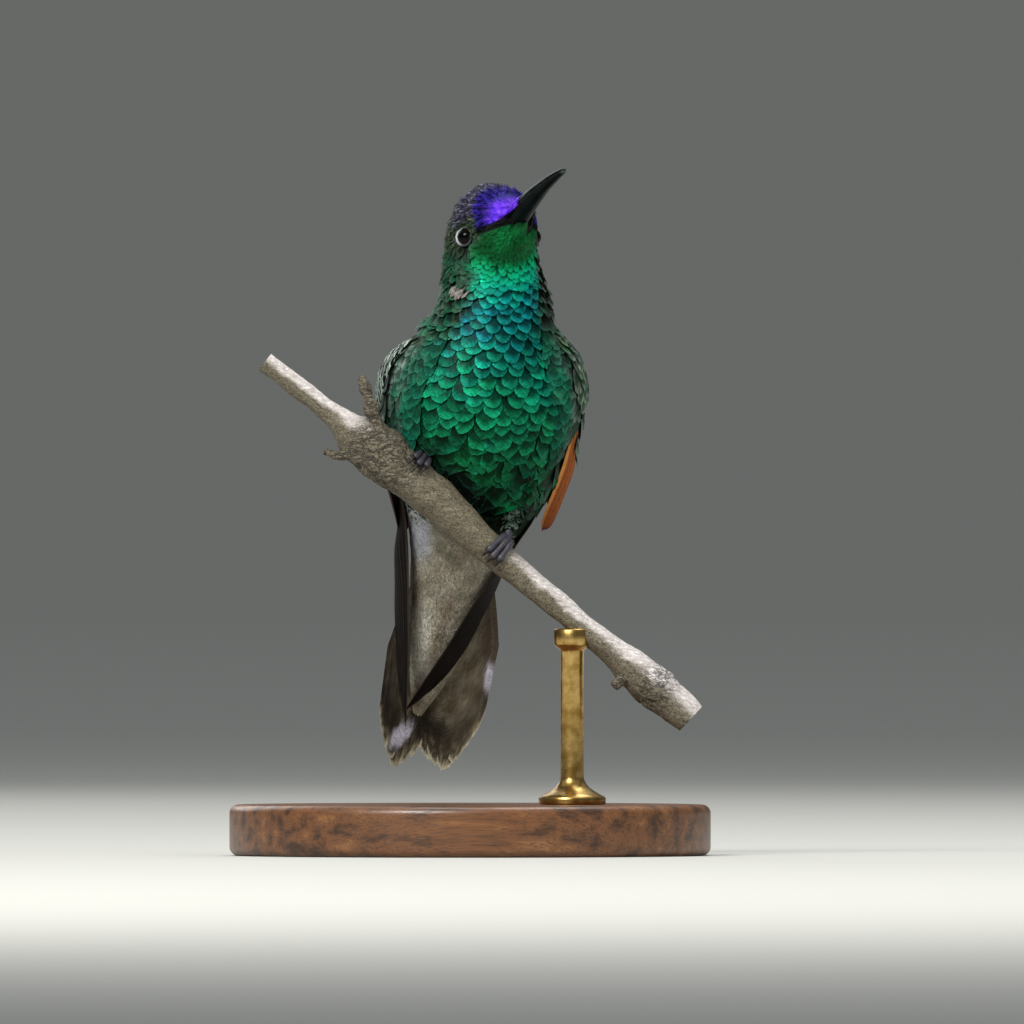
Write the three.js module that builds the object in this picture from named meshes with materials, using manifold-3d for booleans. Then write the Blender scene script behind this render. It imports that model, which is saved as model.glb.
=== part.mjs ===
// A blue-capped hummingbird, life size, perched on a short cut length of branch.
// The branch is carried by a plain display stand: a round base and one short rod.
// Millimetres, +Z up. The bird faces -Y and its left side is at +X.
// The origin is the centre of the base's underside.
import * as THREE from 'three';
import { mergeVertices } from 'three/addons/utils/BufferGeometryUtils.js';
import Module from 'manifold-3d';

const wasm = await Module();
wasm.setup();

// ---- Driving dimensions -------------------------------------------------------------------

const GAP = 0.3; // space kept between neighbouring pieces
const SLIVER = 0.03; // edges and steps smaller than this are smoothed away after a cut
const GRIP = [0, -4, 46]; // where the bird sits over the branch: the bird's own origin

const HEAD_YAW = 26.5; // degrees that the head is turned to the bird's left
const HEAD_PITCH = 23.2; // degrees that the bill points above the horizon
const BILL_ROOT = [6.75, -9.45, 41.8];
const BILL_LENGTH = 15.4; // straight from root to tip
const BILL_SUNK = 1.6; // how far the bill runs back inside the head
const BILL_HALF = 1.65; // half width at its root
const BILL_DEPTH = 1.5; // of each half at its root
const BILL_ARCH = 0.55; // how far the bill bows above that straight line
const SEAM = 0.06; // half the slit between the bill's halves
const OVERBITE = 0.35; // how far the upper half runs past the lower one

const EYE_RADIUS = 1.55;
const EYE_BACK = 7.2; // behind the bill's root
const EYE_SIDE = 4.45; // either side of the middle of the head
const EYE_DROP = 0.2; // below the bill's line
const ORBIT_RADIUS = 1.9; // of the dish in the cheek that bares the eye
const ORBIT_OUT = 2.0; // from the eye's centre out to the dish's

const TAIL_ROOT = [-2.2, 14.2, -3.4];
const TAIL_RUN = [-5.2, 6.5, -30.8]; // from the root to where the longest feathers end
const TAIL_HALF = 8.6; // half width of the closed fan
const TAIL_ROOF = 18; // degrees that each half falls away from the middle feathers
const TAIL_TURN = 18; // degrees that the fan is turned about its own length
const TAIL_THICK = 0.8;
const TAIL_NECK = 0.42; // share of the half width at the tail's root
const TAIL_NOTCH = 0.92; // share of the run that the middle feathers reach
const TAIL_LOBE = 0.09; // how much further the longest ones reach
const TAIL_CORNER = 0.12; // how far the outermost ones fall short again

const BASE_RADIUS = 33;
const BASE_HEIGHT = 7;
const BASE_EDGE = 1.2; // rounding of the base's edges
const ROD_RADIUS = 1.6;
const ROD_FOOT = 4.6; // radius of the flange that the rod stands on
const ROD_CUP = 2.5; // radius of the collar that holds the branch
const ROD_X = 14;

// Sections of the body, from the tip of the tail coverts up to the bill's root. Each row is the
// section's centre, its turn to the bird's left, half width, depth to the belly, depth to the back.
const BODY = [
  [-7.2, 17.5, -26.5, 0, 0.7, 0.5, 0.4], // tip of the undertail coverts
  [-6.0, 16.5, -22.0, 0, 2.6, 1.6, 0.6],
  [-4.4, 15.1, -16.0, 1, 4.3, 2.9, 1.3],
  [-3.0, 13.9, -10.5, 2, 5.5, 4.0, 3.0], // the upper coverts end here
  [-1.8, 12.7, -5.5, 3, 6.5, 5.0, 5.0], // tail root
  [-0.9, 11.6, -1.0, 4, 7.9, 6.6, 6.8], // vent
  [-0.1, 10.3, 3.2, 5, 10.0, 8.6, 8.6],
  [0.7, 8.4, 8.2, 5, 12.1, 10.4, 9.8], // belly
  [1.3, 6.2, 13.6, 5, 13.1, 11.6, 10.5],
  [1.7, 4.3, 18.6, 5, 13.0, 11.8, 10.3], // breast and mantle
  [2.2, 2.8, 23.0, 6, 10.9, 10.7, 9.2],
  [2.95, 1.5, 27.2, 8, 8.7, 8.9, 7.8], // shoulders
  [3.05, 0.3, 31.2, 12, 7.2, 7.3, 6.8],
  [2.95, -0.9, 34.9, 19, 6.5, 6.3, 6.5], // nape and throat
  [3.25, -2.9, 38.6, 27, 6.1, 5.5, 7.0], // cheeks and hind crown
  [4.43, -5.2, 39.9, 27, 5.5, 4.9, 6.3],
  [5.35, -7.0, 40.7, 27, 4.4, 3.9, 4.9], // forehead and chin
  [6.06, -8.4, 41.4, 27, 2.9, 2.7, 3.2],
  [6.8, -9.5, 41.8, 27, 1.6, 1.4, 1.6], // bill's root
];
const TRUNK_FROM = 4.6; // rows where the body is parted: tail coverts, trunk, neck, head
const NECK_FROM = 11.4;
const HEAD_FROM = 13.3;

// Wing surfaces hang from their front edge. Each row is a point on that edge, the length of the
// surface behind it, and its plan heading at the edge and at its far side, in degrees outward
// from straight back.
const WINGS = {
  left: {
    sign: 1,
    coverts: [
      [9.6, 0.9, 27.4, 7.0, 25, -75],
      [11.6, 0.3, 24.9, 11.0, 26, -74],
      [13.7, -0.4, 21.8, 14.5, 28, -72],
      [14.6, 0.7, 18.0, 16.5, 24, -72],
      [14.1, 2.8, 13.6, 16.0, 24, -70],
      [12.9, 4.6, 10.2, 14.5, 28, -66],
    ],
    secondaries: [
      [12.8, 6.3, 9.8, 11.5, 34, -66],
      [12.0, 7.5, 7.0, 11.5, 42, -60],
      [10.6, 8.6, 3.4, 10.0, 46, -52],
      [9.5, 9.3, 0.4, 6.5, 48, -25],
      [9.4, 10.1, -1.2, 1.2, 46, 20],
    ],
    primaries: [
      [12.2, 5.6, 9.7, 10.5, 2, -76],
      [11.0, 6.9, 4.8, 9.8, -4, -66],
      [9.1, 7.7, 0.0, 8.6, 0, -46],
      [6.3, 8.1, -4.0, 7.0, 12, -16],
      [3.1, 8.5, -8.4, 5.2, 30, 8],
      [0.1, 9.2, -12.6, 4.2, 46, 32],
      [-2.9, 10.4, -17.4, 4.0, 56, 46],
      [-6.2, 12.1, -22.3, 3.6, 58, 52],
      [-9.2, 13.8, -27.0, 0.9, 60, 56],
    ],
  },
  right: {
    sign: -1,
    coverts: [
      [-6.3, 1.6, 25.0, 9.5, 22, -75],
      [-10.0, 1.2, 21.8, 14.5, 24, -74],
      [-11.4, 2.0, 18.0, 16.5, 20, -74],
      [-11.7, 3.8, 13.6, 16.0, 18, -72],
      [-11.5, 5.3, 10.2, 14.5, 18, -68],
    ],
    secondaries: [
      [-11.8, 7.0, 9.8, 11.5, 18, -70],
      [-11.2, 7.8, 7.0, 11.5, 18, -68],
      [-10.2, 8.6, 3.4, 10.0, 14, -64],
      [-9.5, 9.4, 0.4, 6.5, 10, -50],
      [-9.2, 10.6, -1.2, 1.2, 8, -20],
    ],
    primaries: [
      [-11.1, 6.1, 9.7, 11.5, 12, -66],
      [-10.0, 7.2, 4.8, 10.5, 10, -60],
      [-9.2, 7.9, 0.0, 8.6, 12, -46],
      [-8.9, 8.2, -4.0, 6.2, 18, -24],
      [-8.8, 8.3, -8.4, 4.2, 26, 2],
      [-8.8, 8.7, -12.6, 3.2, 32, 20],
      [-8.8, 9.6, -17.4, 2.9, 36, 28],
      [-9.0, 10.9, -22.8, 2.6, 40, 34],
      [-9.4, 12.4, -28.2, 0.9, 44, 40],
    ],
  },
};
const WING_THICK = { coverts: 1.5, secondaries: 0.65, primaries: 0.65 };
const WING_LAYER = { coverts: 0.1, secondaries: 0.55, primaries: -0.5 }; // outward of the front edge

// The branch lies in one upright plane. Each row is a point on its axis and its radius there.
const PERCH = [
  [-28.1, 21.7, 1.4],
  [-25.2, 19.4, 1.45],
  [-21.6, 16.6, 1.45],
  [-18.2, 13.9, 1.75],
  [-15.4, 11.5, 3.2], // old knot
  [-12.4, 9.2, 3.8],
  [-8.6, 6.2, 3.4],
  [-4.3, 2.6, 3.0],
  [-0.4, -1.1, 2.5],
  [4.2, -5.2, 2.05],
  [9.6, -9.7, 1.85],
  [14.8, -14.1, 1.75],
  [19.0, -17.6, 1.9],
  [22.0, -20.1, 2.6], // bud node
  [24.8, -22.5, 2.95],
  [27.6, -24.9, 2.65],
  [30.2, -27.3, 2.3],
];
const SPUR = [
  [-12.2, -1.2, 11.6, 1.5],
  [-13.0, -1.5, 13.8, 0.95],
  [-13.5, -1.6, 15.3, 1.25],
  [-14.0, -1.7, 16.9, 0.75],
  [-14.4, -1.6, 18.2, 1.0],
  [-14.9, -1.5, 19.9, 0.45],
];
const TWIG = [
  [-15.2, -0.8, 9.6, 1.2],
  [-17.0, -1.2, 8.9, 0.75],
  [-18.6, -1.5, 8.9, 0.6],
  [-20.0, -1.6, 9.4, 0.5],
];
const SNAG = [
  [22.2, -0.8, -20.6, 1.4],
  [20.8, -1.4, -21.8, 1.0],
  [19.7, -1.8, -22.8, 0.7],
];

// Feet: where each one holds the branch, and how far round it its toes reach from the top.
const FEET = {
  left: { row: 8.85, spread: 1.15, reach: 116, hip: [6.8, 7.4, 5.0] },
  right: { row: 6.05, spread: 1.1, reach: 42, hip: [-5.2, 8.0, 12.8] },
};
const TOE_RADIUS = 0.42;
const CLAW_RADIUS = 0.26;
const SHANK = 3.2; // bare length of the leg above the ankle
const TOE_CLEAR = 0.4; // from the bark to a toe, as the bark is lumpy
const ANKLE_ANGLE = -38; // degrees from the branch's top, to its far side
const HALLUX_ANGLE = -128;

// ---- Small geometry helpers ---------------------------------------------------------------

const vec = (p) => new THREE.Vector3(...p);
const rad = THREE.MathUtils.degToRad;

// The row of a table at a fractional place, by a Catmull-Rom spline through the rows.
function rowAt(rows, place) {
  const last = rows.length - 1;
  const i = THREE.MathUtils.clamp(Math.floor(place), 0, last - 1);
  const f = place - i;
  const [a, b, c, d] = [i - 1, i, i + 1, i + 2].map((k) => rows[THREE.MathUtils.clamp(k, 0, last)]);
  return b.map((_, k) => {
    const rise = (c[k] - a[k]) * f;
    const bend = (2 * a[k] - 5 * b[k] + 4 * c[k] - d[k]) * f * f;
    const twist = (3 * b[k] - a[k] - 3 * c[k] + d[k]) * f * f * f;
    return b[k] + (rise + bend + twist) / 2;
  });
}

// Turns the faces outward if the closed surface encloses a negative volume.
function facingOut(points, index) {
  let volume = 0;
  for (let i = 0; i < index.length; i += 3) {
    const [a, b, c] = [points[index[i]], points[index[i + 1]], points[index[i + 2]]];
    volume += a.dot(b.clone().cross(c));
  }
  const faces = volume < 0 ? index.toReversed() : index;
  const geometry = new THREE.BufferGeometry().setFromPoints(points);
  geometry.setIndex(faces);
  return geometry;
}

// A closed skin over rings of equal point count, with a flat fan over each end.
function loft(rings) {
  const sides = rings[0].length;
  const points = rings.flat();
  const index = [];
  for (let i = 0; i < rings.length - 1; i++) {
    for (let j = 0; j < sides; j++) {
      const a = i * sides + j;
      const b = i * sides + ((j + 1) % sides);
      index.push(a, b, a + sides, b, b + sides, a + sides);
    }
  }
  const cap = (first, flipped) => {
    const middle = new THREE.Vector3();
    for (let j = 0; j < sides; j++) middle.addScaledVector(points[first + j], 1 / sides);
    const hub = points.push(middle) - 1;
    for (let j = 0; j < sides; j++) {
      const edge = [first + j, first + ((j + 1) % sides)];
      index.push(hub, ...(flipped ? edge.reverse() : edge));
    }
  };
  cap(0, true);
  cap((rings.length - 1) * sides, false);
  return facingOut(points, index);
}

// A closed plate of even thickness about the surface pointAt(u, v), u and v from 0 to 1.
function plate(pointAt, uSteps, vSteps, thickness, layer = 0) {
  const points = [];
  const faces = [thickness / 2, -thickness / 2];
  for (const half of faces) {
    for (let i = 0; i <= uSteps; i++) {
      for (let j = 0; j <= vSteps; j++) {
        const [u, v] = [i / uSteps, j / vSteps];
        const d = 0.01;
        const du = pointAt(Math.min(u + d, 1), v).sub(pointAt(Math.max(u - d, 0), v));
        const dv = pointAt(u, Math.min(v + d, 1)).sub(pointAt(u, Math.max(v - d, 0)));
        points.push(pointAt(u, v).addScaledVector(du.cross(dv).normalize(), layer + half));
      }
    }
  }
  const row = vSteps + 1;
  const under = (uSteps + 1) * row;
  const index = [];
  const quad = (a, b, c, d) => index.push(a, b, c, a, c, d);
  for (let i = 0; i < uSteps; i++) {
    for (let j = 0; j < vSteps; j++) {
      const a = i * row + j;
      quad(a, a + row, a + row + 1, a + 1);
      quad(under + a, under + a + 1, under + a + row + 1, under + a + row);
    }
    const [near, far] = [i * row, i * row + vSteps];
    quad(near, under + near, under + near + row, near + row);
    quad(far, far + row, under + far + row, under + far);
  }
  for (let j = 0; j < vSteps; j++) {
    const last = uSteps * row + j;
    quad(j, j + 1, under + j + 1, under + j);
    quad(last, under + last, under + last + 1, last + 1);
  }
  return facingOut(points, index);
}

// A round rod through points [x, y, z, radius], grown by extra all round and at its ends.
function limb(rows, steps, sides, extra = 0) {
  const rings = [];
  const across = new THREE.Vector3(0, 1, 0);
  for (let i = 0; i <= steps; i++) {
    const place = (i / steps) * (rows.length - 1);
    const [x, y, z, radius] = rowAt(rows, place);
    const ahead = vec(rowAt(rows, Math.min(place + 0.02, rows.length - 1)).slice(0, 3));
    const behind = vec(rowAt(rows, Math.max(place - 0.02, 0)).slice(0, 3));
    const along = ahead.sub(behind).normalize();
    const side = across.clone().addScaledVector(along, -across.dot(along)).normalize();
    const up = along.clone().cross(side);
    across.copy(side);
    const ring = [];
    for (let j = 0; j < sides; j++) {
      const angle = (2 * Math.PI * j) / sides;
      const point = new THREE.Vector3(x, y, z);
      point.addScaledVector(side, Math.cos(angle) * (radius + extra));
      point.addScaledVector(up, Math.sin(angle) * (radius + extra));
      if (i === 0) point.addScaledVector(along, -extra);
      if (i === steps) point.addScaledVector(along, extra);
      ring.push(point);
    }
    rings.push(ring);
  }
  return loft(rings);
}

// ---- Booleans -----------------------------------------------------------------------------

function solid(geometry) {
  const bare = geometry.clone();
  bare.deleteAttribute('normal');
  bare.deleteAttribute('uv');
  const merged = mergeVertices(bare, 1e-4);
  const vertProperties = new Float32Array(merged.getAttribute('position').array);
  const triVerts = new Uint32Array(merged.getIndex().array);
  return new wasm.Manifold(new wasm.Mesh({ numProp: 3, vertProperties, triVerts }));
}

function joined(...geometries) {
  return geometries.map(solid).reduce((whole, piece) => whole.add(piece));
}

// The largest body left of a solid after the cutters are taken out of it, without slivers.
function cutBy(piece, ...cutters) {
  const left = cutters.reduce((rest, cutter) => rest.subtract(cutter), piece);
  const bodies = left.decompose();
  const body = bodies.reduce((best, next) => (next.volume() > best.volume() ? next : best));
  return body.simplify(SLIVER);
}

function shapeOf(piece) {
  const mesh = piece.getMesh();
  const geometry = new THREE.BufferGeometry();
  geometry.setAttribute('position', new THREE.BufferAttribute(mesh.vertProperties, 3));
  geometry.setIndex(new THREE.BufferAttribute(mesh.triVerts, 1));
  return geometry;
}

// ---- Body ---------------------------------------------------------------------------------

// One section of the body: its centre, its left and back directions and its three depths.
function bodySection(place) {
  const [x, y, z, yaw, side, belly, back] = rowAt(BODY, place);
  const ahead = vec(rowAt(BODY, Math.min(place + 0.05, BODY.length - 1)).slice(0, 3));
  const behind = vec(rowAt(BODY, Math.max(place - 0.05, 0)).slice(0, 3));
  const along = ahead.sub(behind).normalize();
  const left = new THREE.Vector3(Math.cos(rad(yaw)), Math.sin(rad(yaw)), 0);
  left.addScaledVector(along, -left.dot(along)).normalize();
  return { centre: new THREE.Vector3(x, y, z), left, up: along.clone().cross(left), side, belly, back };
}

// The body between two rows of its table, as one closed loft of half ellipses.
function body(from, to, steps, extra = 0, sides = 20) {
  const rings = [];
  for (let i = 0; i <= steps; i++) {
    const cut = bodySection(from + ((to - from) * i) / steps);
    const ring = [];
    for (let j = 0; j < sides; j++) {
      const angle = (2 * Math.PI * j) / sides;
      const depth = Math.cos(angle) > 0 ? cut.back : cut.belly;
      const point = cut.centre.clone();
      point.addScaledVector(cut.left, Math.sin(angle) * (cut.side + extra));
      point.addScaledVector(cut.up, Math.cos(angle) * (depth + extra));
      ring.push(point);
    }
    rings.push(ring);
  }
  return solid(loft(rings));
}

// ---- Head ---------------------------------------------------------------------------------

const [yaw, pitch] = [rad(HEAD_YAW), rad(HEAD_PITCH)];
const headFront = new THREE.Vector3(
  Math.cos(pitch) * Math.sin(yaw),
  -Math.cos(pitch) * Math.cos(yaw),
  Math.sin(pitch),
);
const headLeft = new THREE.Vector3(Math.cos(yaw), Math.sin(yaw), 0);
const headUp = headFront.clone().cross(headLeft);

// A point of the head from its distances ahead of the bill's root, to the left and up.
function headPoint(ahead, left, up) {
  const point = vec(BILL_ROOT);
  point.addScaledVector(headFront, ahead);
  point.addScaledVector(headLeft, left);
  return point.addScaledVector(headUp, up);
}

// Half of the bill: a D-shaped section that arches and tapers towards the tip.
// sign is 1 for the upper half and -1 for the lower one.
function billHalf(sign, length, seam, extra = 0) {
  const steps = 9;
  const sides = 7;
  const start = -BILL_SUNK - extra;
  const flat = seam - extra;
  const rings = [];
  for (let i = 0; i <= steps; i++) {
    const ahead = start + ((length + extra - start) * i) / steps;
    const t = THREE.MathUtils.clamp(ahead / BILL_LENGTH, 0, 1);
    const taper = 1 - 0.32 * Math.min(t * 1.8, 1) - 0.46 * t ** 2.6;
    const half = BILL_HALF * taper + extra;
    const depth = BILL_DEPTH * taper + extra;
    const arch = 4 * BILL_ARCH * t * (1 - t);
    const ring = [];
    for (let j = 0; j < sides; j++) {
      const angle = (Math.PI * j) / (sides - 1);
      const rise = sign * (flat + Math.sin(angle) * (depth - flat));
      ring.push(headPoint(ahead, Math.cos(angle) * half, arch + rise));
    }
    rings.push(ring);
  }
  return loft(rings);
}

// An eyeball, or a ball further out on the same line.
function eyeball(sign, radius, out = 0) {
  const centre = headPoint(-EYE_BACK, sign * (EYE_SIDE + out), -EYE_DROP);
  const ball = new THREE.SphereGeometry(radius, 10, 7);
  return ball.translate(centre.x, centre.y, centre.z);
}

// ---- Wings --------------------------------------------------------------------------------

// A point on a wing surface: v runs down its front edge, u from that edge to the far side.
function wingPoint(rows, sign, u, v) {
  const [x, y, z, chord, from, to] = rowAt(rows, v * (rows.length - 1));
  const start = rad(from);
  const turn = rad(to) - start;
  const heading = start + turn * u;
  const outward = (chord * (Math.cos(start) - Math.cos(heading))) / turn;
  const backward = (chord * (Math.sin(heading) - Math.sin(start))) / turn;
  return new THREE.Vector3(x + sign * outward, y + backward, z);
}

// A wing piece as a plate on its surface, or its cutter: the same plate grown by extra all round.
function wingPiece(side, name, extra = 0) {
  const { sign } = WINGS[side];
  const rows = WINGS[side][name];
  const length = vec(rows[0]).distanceTo(vec(rows.at(-1)));
  const grown = (value, size) => value + (2 * value - 1) * (extra / size);
  const at = (u, v) => {
    const run = grown(v, length);
    const chord = rowAt(rows, run * (rows.length - 1))[3];
    return wingPoint(rows, sign, grown(u, Math.max(chord, 0.5)), run);
  };
  const steps = name === 'primaries' ? 15 : 6;
  return plate(at, 6, steps, WING_THICK[name] + 2 * extra, -sign * WING_LAYER[name]);
}

// ---- Tail ---------------------------------------------------------------------------------

// Half the tail's end line: a shallow notch, a rounded lobe and a cut-back outer corner.
function tailReach(across) {
  const a = Math.abs(across);
  const lobe = TAIL_LOBE * Math.sin(Math.PI * Math.min(a * 1.15, 1));
  return TAIL_NOTCH + lobe - TAIL_CORNER * a ** 5 + 0.015 * across;
}

function tailPoint(u, v) {
  const across = 2 * u - 1;
  const run = 0.02 + v * (tailReach(across) - 0.02);
  const opened = TAIL_NECK + (1 - TAIL_NECK) * Math.min(run * 2.2, 1) ** 0.7;
  const half = TAIL_HALF * opened * (1 - 0.1 * v * Math.abs(across));
  const slope = rad(across < 0 ? TAIL_TURN + TAIL_ROOF : TAIL_TURN - TAIL_ROOF);
  const round = 0.35 * (1 - Math.abs(across)) ** 2; // softens the ridge
  const point = vec(TAIL_ROOT).addScaledVector(vec(TAIL_RUN), run);
  point.x += across * half * Math.cos(slope);
  point.y += across * half * Math.sin(slope) - round;
  return point;
}

function tail(thickness) {
  return solid(plate(tailPoint, 12, 8, thickness));
}

// ---- Legs and feet ------------------------------------------------------------------------

// A place on the branch: a point of its axis, its own directions and its radius.
function perchFrame(place) {
  const [x, z, radius] = rowAt(PERCH, place);
  const [x1, z1] = rowAt(PERCH, Math.min(place + 0.1, PERCH.length - 1));
  const [x0, z0] = rowAt(PERCH, Math.max(place - 0.1, 0));
  const along = new THREE.Vector3(x1 - x0, 0, z1 - z0).normalize();
  const top = new THREE.Vector3(-along.z, 0, along.x);
  return { centre: new THREE.Vector3(x, 0, z), along, top, radius };
}

// A point held off the branch at an angle from its top, positive towards the bird's front.
function besidePerch(frame, angle, distance, shift) {
  const point = frame.centre.clone().addScaledVector(frame.along, shift);
  point.addScaledVector(frame.top, Math.cos(rad(angle)) * distance);
  point.y -= Math.sin(rad(angle)) * distance;
  return point;
}

// A toe curled round the branch between two angles, its last fifth the claw.
function toe(frame, from, to, spread, extra) {
  const rows = [];
  const steps = 7;
  for (let i = 0; i <= steps; i++) {
    const t = i / steps;
    const bulge = 1 + 0.12 * Math.cos(t * Math.PI * 5);
    const radius = t > 0.8 ? CLAW_RADIUS + (1 - t) * 0.4 : TOE_RADIUS * bulge;
    const distance = frame.radius + TOE_CLEAR + radius;
    const point = besidePerch(frame, from + (to - from) * t, distance, spread * (0.25 + 0.75 * t));
    rows.push([point.x, point.y, point.z, radius]);
  }
  return limb(rows, steps, 5, extra);
}

// The straight line of a leg: where its foot holds, its ankle, and the way up to the hip.
function legLine(side) {
  const frame = perchFrame(FEET[side].row);
  const ankle = besidePerch(frame, ANKLE_ANGLE, frame.radius + 0.95, 0);
  const rise = vec(FEET[side].hip).sub(ankle);
  return { frame, ankle, rise, length: rise.length() };
}

function foot(side, extra = 0) {
  const { spread, reach } = FEET[side];
  const { frame, ankle, rise, length } = legLine(side);
  const pieces = [-1, 0, 1].map((k) => toe(frame, ANKLE_ANGLE, reach - 10 * Math.abs(k), k * spread, extra));
  pieces.push(toe(frame, ANKLE_ANGLE, HALLUX_ANGLE, 0, extra));
  const top = ankle.clone().addScaledVector(rise, SHANK / length);
  pieces.push(limb([[...ankle, 0.62], [...top, 0.5]], 2, 6, extra));
  return joined(...pieces);
}

// The feathered upper leg, from the bare shank up into the belly.
function thigh(side, extra = 0) {
  const { ankle, rise, length } = legLine(side);
  const at = (along) => ankle.clone().addScaledVector(rise, along / length);
  const from = SHANK + GAP;
  const rows = [[...at(from), 1.0], [...at((from + length) / 2), 1.9], [...at(length), 2.2]];
  return solid(limb(rows, 4, 8, extra));
}

// ---- Perch --------------------------------------------------------------------------------

// The branch with its knots, bud spur, twig stub and snag, grown by extra all round.
function perch(extra = 0) {
  const steps = 22;
  const sides = 10;
  const rings = [];
  for (let i = 0; i <= steps; i++) {
    const place = (i / steps) * (PERCH.length - 1);
    const frame = perchFrame(place);
    const ring = [];
    for (let j = 0; j < sides; j++) {
      const angle = 360 * (j / sides);
      const lump = 1 + 0.03 * Math.sin(3 * rad(angle) + place * 1.3) + 0.02 * Math.sin(5 * place);
      ring.push(besidePerch(frame, angle, frame.radius * lump + extra, 0));
    }
    rings.push(ring);
  }
  const shoots = [limb(SPUR, 10, 6, extra), limb(TWIG, 5, 6, extra), limb(SNAG, 3, 6, extra)];
  return joined(loft(rings), ...shoots);
}

// ---- Stand --------------------------------------------------------------------------------

function turned(profile, segments) {
  const outline = profile.map(([radius, height]) => new THREE.Vector2(radius, height));
  const geometry = new THREE.LatheGeometry(outline, segments);
  return solid(geometry.rotateX(Math.PI / 2));
}

function standBase() {
  const profile = [[0, 0]];
  for (const [height, from] of [[BASE_EDGE, -90], [BASE_HEIGHT - BASE_EDGE, 0]]) {
    for (let k = 0; k <= 2; k++) {
      const angle = rad(from + 45 * k);
      const radius = BASE_RADIUS - BASE_EDGE + BASE_EDGE * Math.cos(angle);
      profile.push([radius, height + BASE_EDGE * Math.sin(angle)]);
    }
  }
  profile.push([0, BASE_HEIGHT]);
  return turned(profile, 40);
}

function standRod(branch) {
  const foot = BASE_HEIGHT + 0.05;
  const place = PERCH.findIndex(([x]) => x > ROD_X) - 0.1;
  const top = GRIP[2] + perchFrame(place).centre.z;
  const profile = [
    [0, foot],
    [ROD_FOOT, foot],
    [ROD_FOOT, foot + 1.0],
    [ROD_FOOT - 0.8, foot + 1.6],
    [ROD_RADIUS + 0.7, foot + 2.4],
    [ROD_RADIUS, foot + 3.6],
    [ROD_RADIUS, top - 4.2],
    [ROD_CUP, top - 3.4],
    [ROD_CUP, top],
    [0, top],
  ];
  const rod = turned(profile, 16).translate([ROD_X, GRIP[1], 0]);
  return cutBy(rod, branch.translate(GRIP));
}

// ---- Assembly -----------------------------------------------------------------------------

const COLOURS = {
  violet: { color: 0x3b2b9c, roughness: 0.45, metalness: 0.3 },
  green: { color: 0x0c6b4a, roughness: 0.45, metalness: 0.3 },
  teal: { color: 0x0b7a70, roughness: 0.45, metalness: 0.3 },
  greyWhite: { color: 0xaaa79b, roughness: 0.8, metalness: 0 },
  bronze: { color: 0x3f5a45, roughness: 0.6, metalness: 0.2 },
  rufous: { color: 0xb56a2c, roughness: 0.65, metalness: 0 },
  flight: { color: 0x201c1b, roughness: 0.5, metalness: 0 },
  tail: { color: 0x5a544b, roughness: 0.6, metalness: 0 },
  eye: { color: 0x120c0a, roughness: 0.08, metalness: 0 },
  bill: { color: 0x141817, roughness: 0.35, metalness: 0 },
  foot: { color: 0x3a3540, roughness: 0.6, metalness: 0 },
  bark: { color: 0x9c9184, roughness: 0.85, metalness: 0 },
  wood: { color: 0x7a5230, roughness: 0.5, metalness: 0 },
  brass: { color: 0xb08d4f, roughness: 0.3, metalness: 1 },
};

const object = new THREE.Group();
const bird = new THREE.Group();
bird.position.set(...GRIP);
object.add(bird);

function addTo(group, name, piece, colour) {
  const material = new THREE.MeshStandardMaterial(COLOURS[colour]);
  const mesh = new THREE.Mesh(shapeOf(piece), material);
  mesh.name = name;
  group.add(mesh);
}

const half = GAP / 12; // half a cut, in rows of the body's table
const branchCutter = perch(GAP);
const tailCutter = tail(TAIL_THICK + 2 * GAP);
const cutters = { left: {}, right: {} };
for (const side of ['left', 'right']) {
  for (const name of ['coverts', 'secondaries', 'primaries']) {
    cutters[side][name] = solid(wingPiece(side, name, GAP));
  }
}
const wingCutters = [...Object.values(cutters.left), ...Object.values(cutters.right)];
const legCutters = ['left', 'right'].flatMap((side) => [thigh(side, GAP), foot(side, GAP)]);
const footPieces = { left: foot('left'), right: foot('right') };

const coverts = body(0, TRUNK_FROM - half, 10);
addTo(bird, 'tail_coverts', cutBy(coverts, tailCutter, ...wingCutters), 'greyWhite');
const tailCutters = [body(TRUNK_FROM, NECK_FROM, 12, GAP), ...wingCutters];
addTo(bird, 'tail', cutBy(tail(TAIL_THICK), ...tailCutters), 'tail');

const trunk = body(TRUNK_FROM + half, NECK_FROM - half, 12);
const trunkCutters = [branchCutter, tailCutter, ...wingCutters, ...legCutters];
addTo(bird, 'trunk', cutBy(trunk, ...trunkCutters), 'green');
addTo(bird, 'neck', body(NECK_FROM + half, HEAD_FROM - half, 4), 'teal');

const billCutters = [solid(billHalf(1, BILL_LENGTH, SEAM, GAP)), solid(billHalf(-1, BILL_LENGTH, SEAM, GAP))];
const sockets = [1, -1].map((sign) =>
  joined(eyeball(sign, EYE_RADIUS + GAP), eyeball(sign, ORBIT_RADIUS, ORBIT_OUT)),
);
const head = body(HEAD_FROM + half, BODY.length - 1, 11);
addTo(bird, 'head', cutBy(head, ...billCutters, ...sockets), 'violet');
addTo(bird, 'bill_upper', solid(billHalf(1, BILL_LENGTH, SEAM)), 'bill');
addTo(bird, 'bill_lower', solid(billHalf(-1, BILL_LENGTH - OVERBITE, SEAM)), 'bill');

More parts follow.
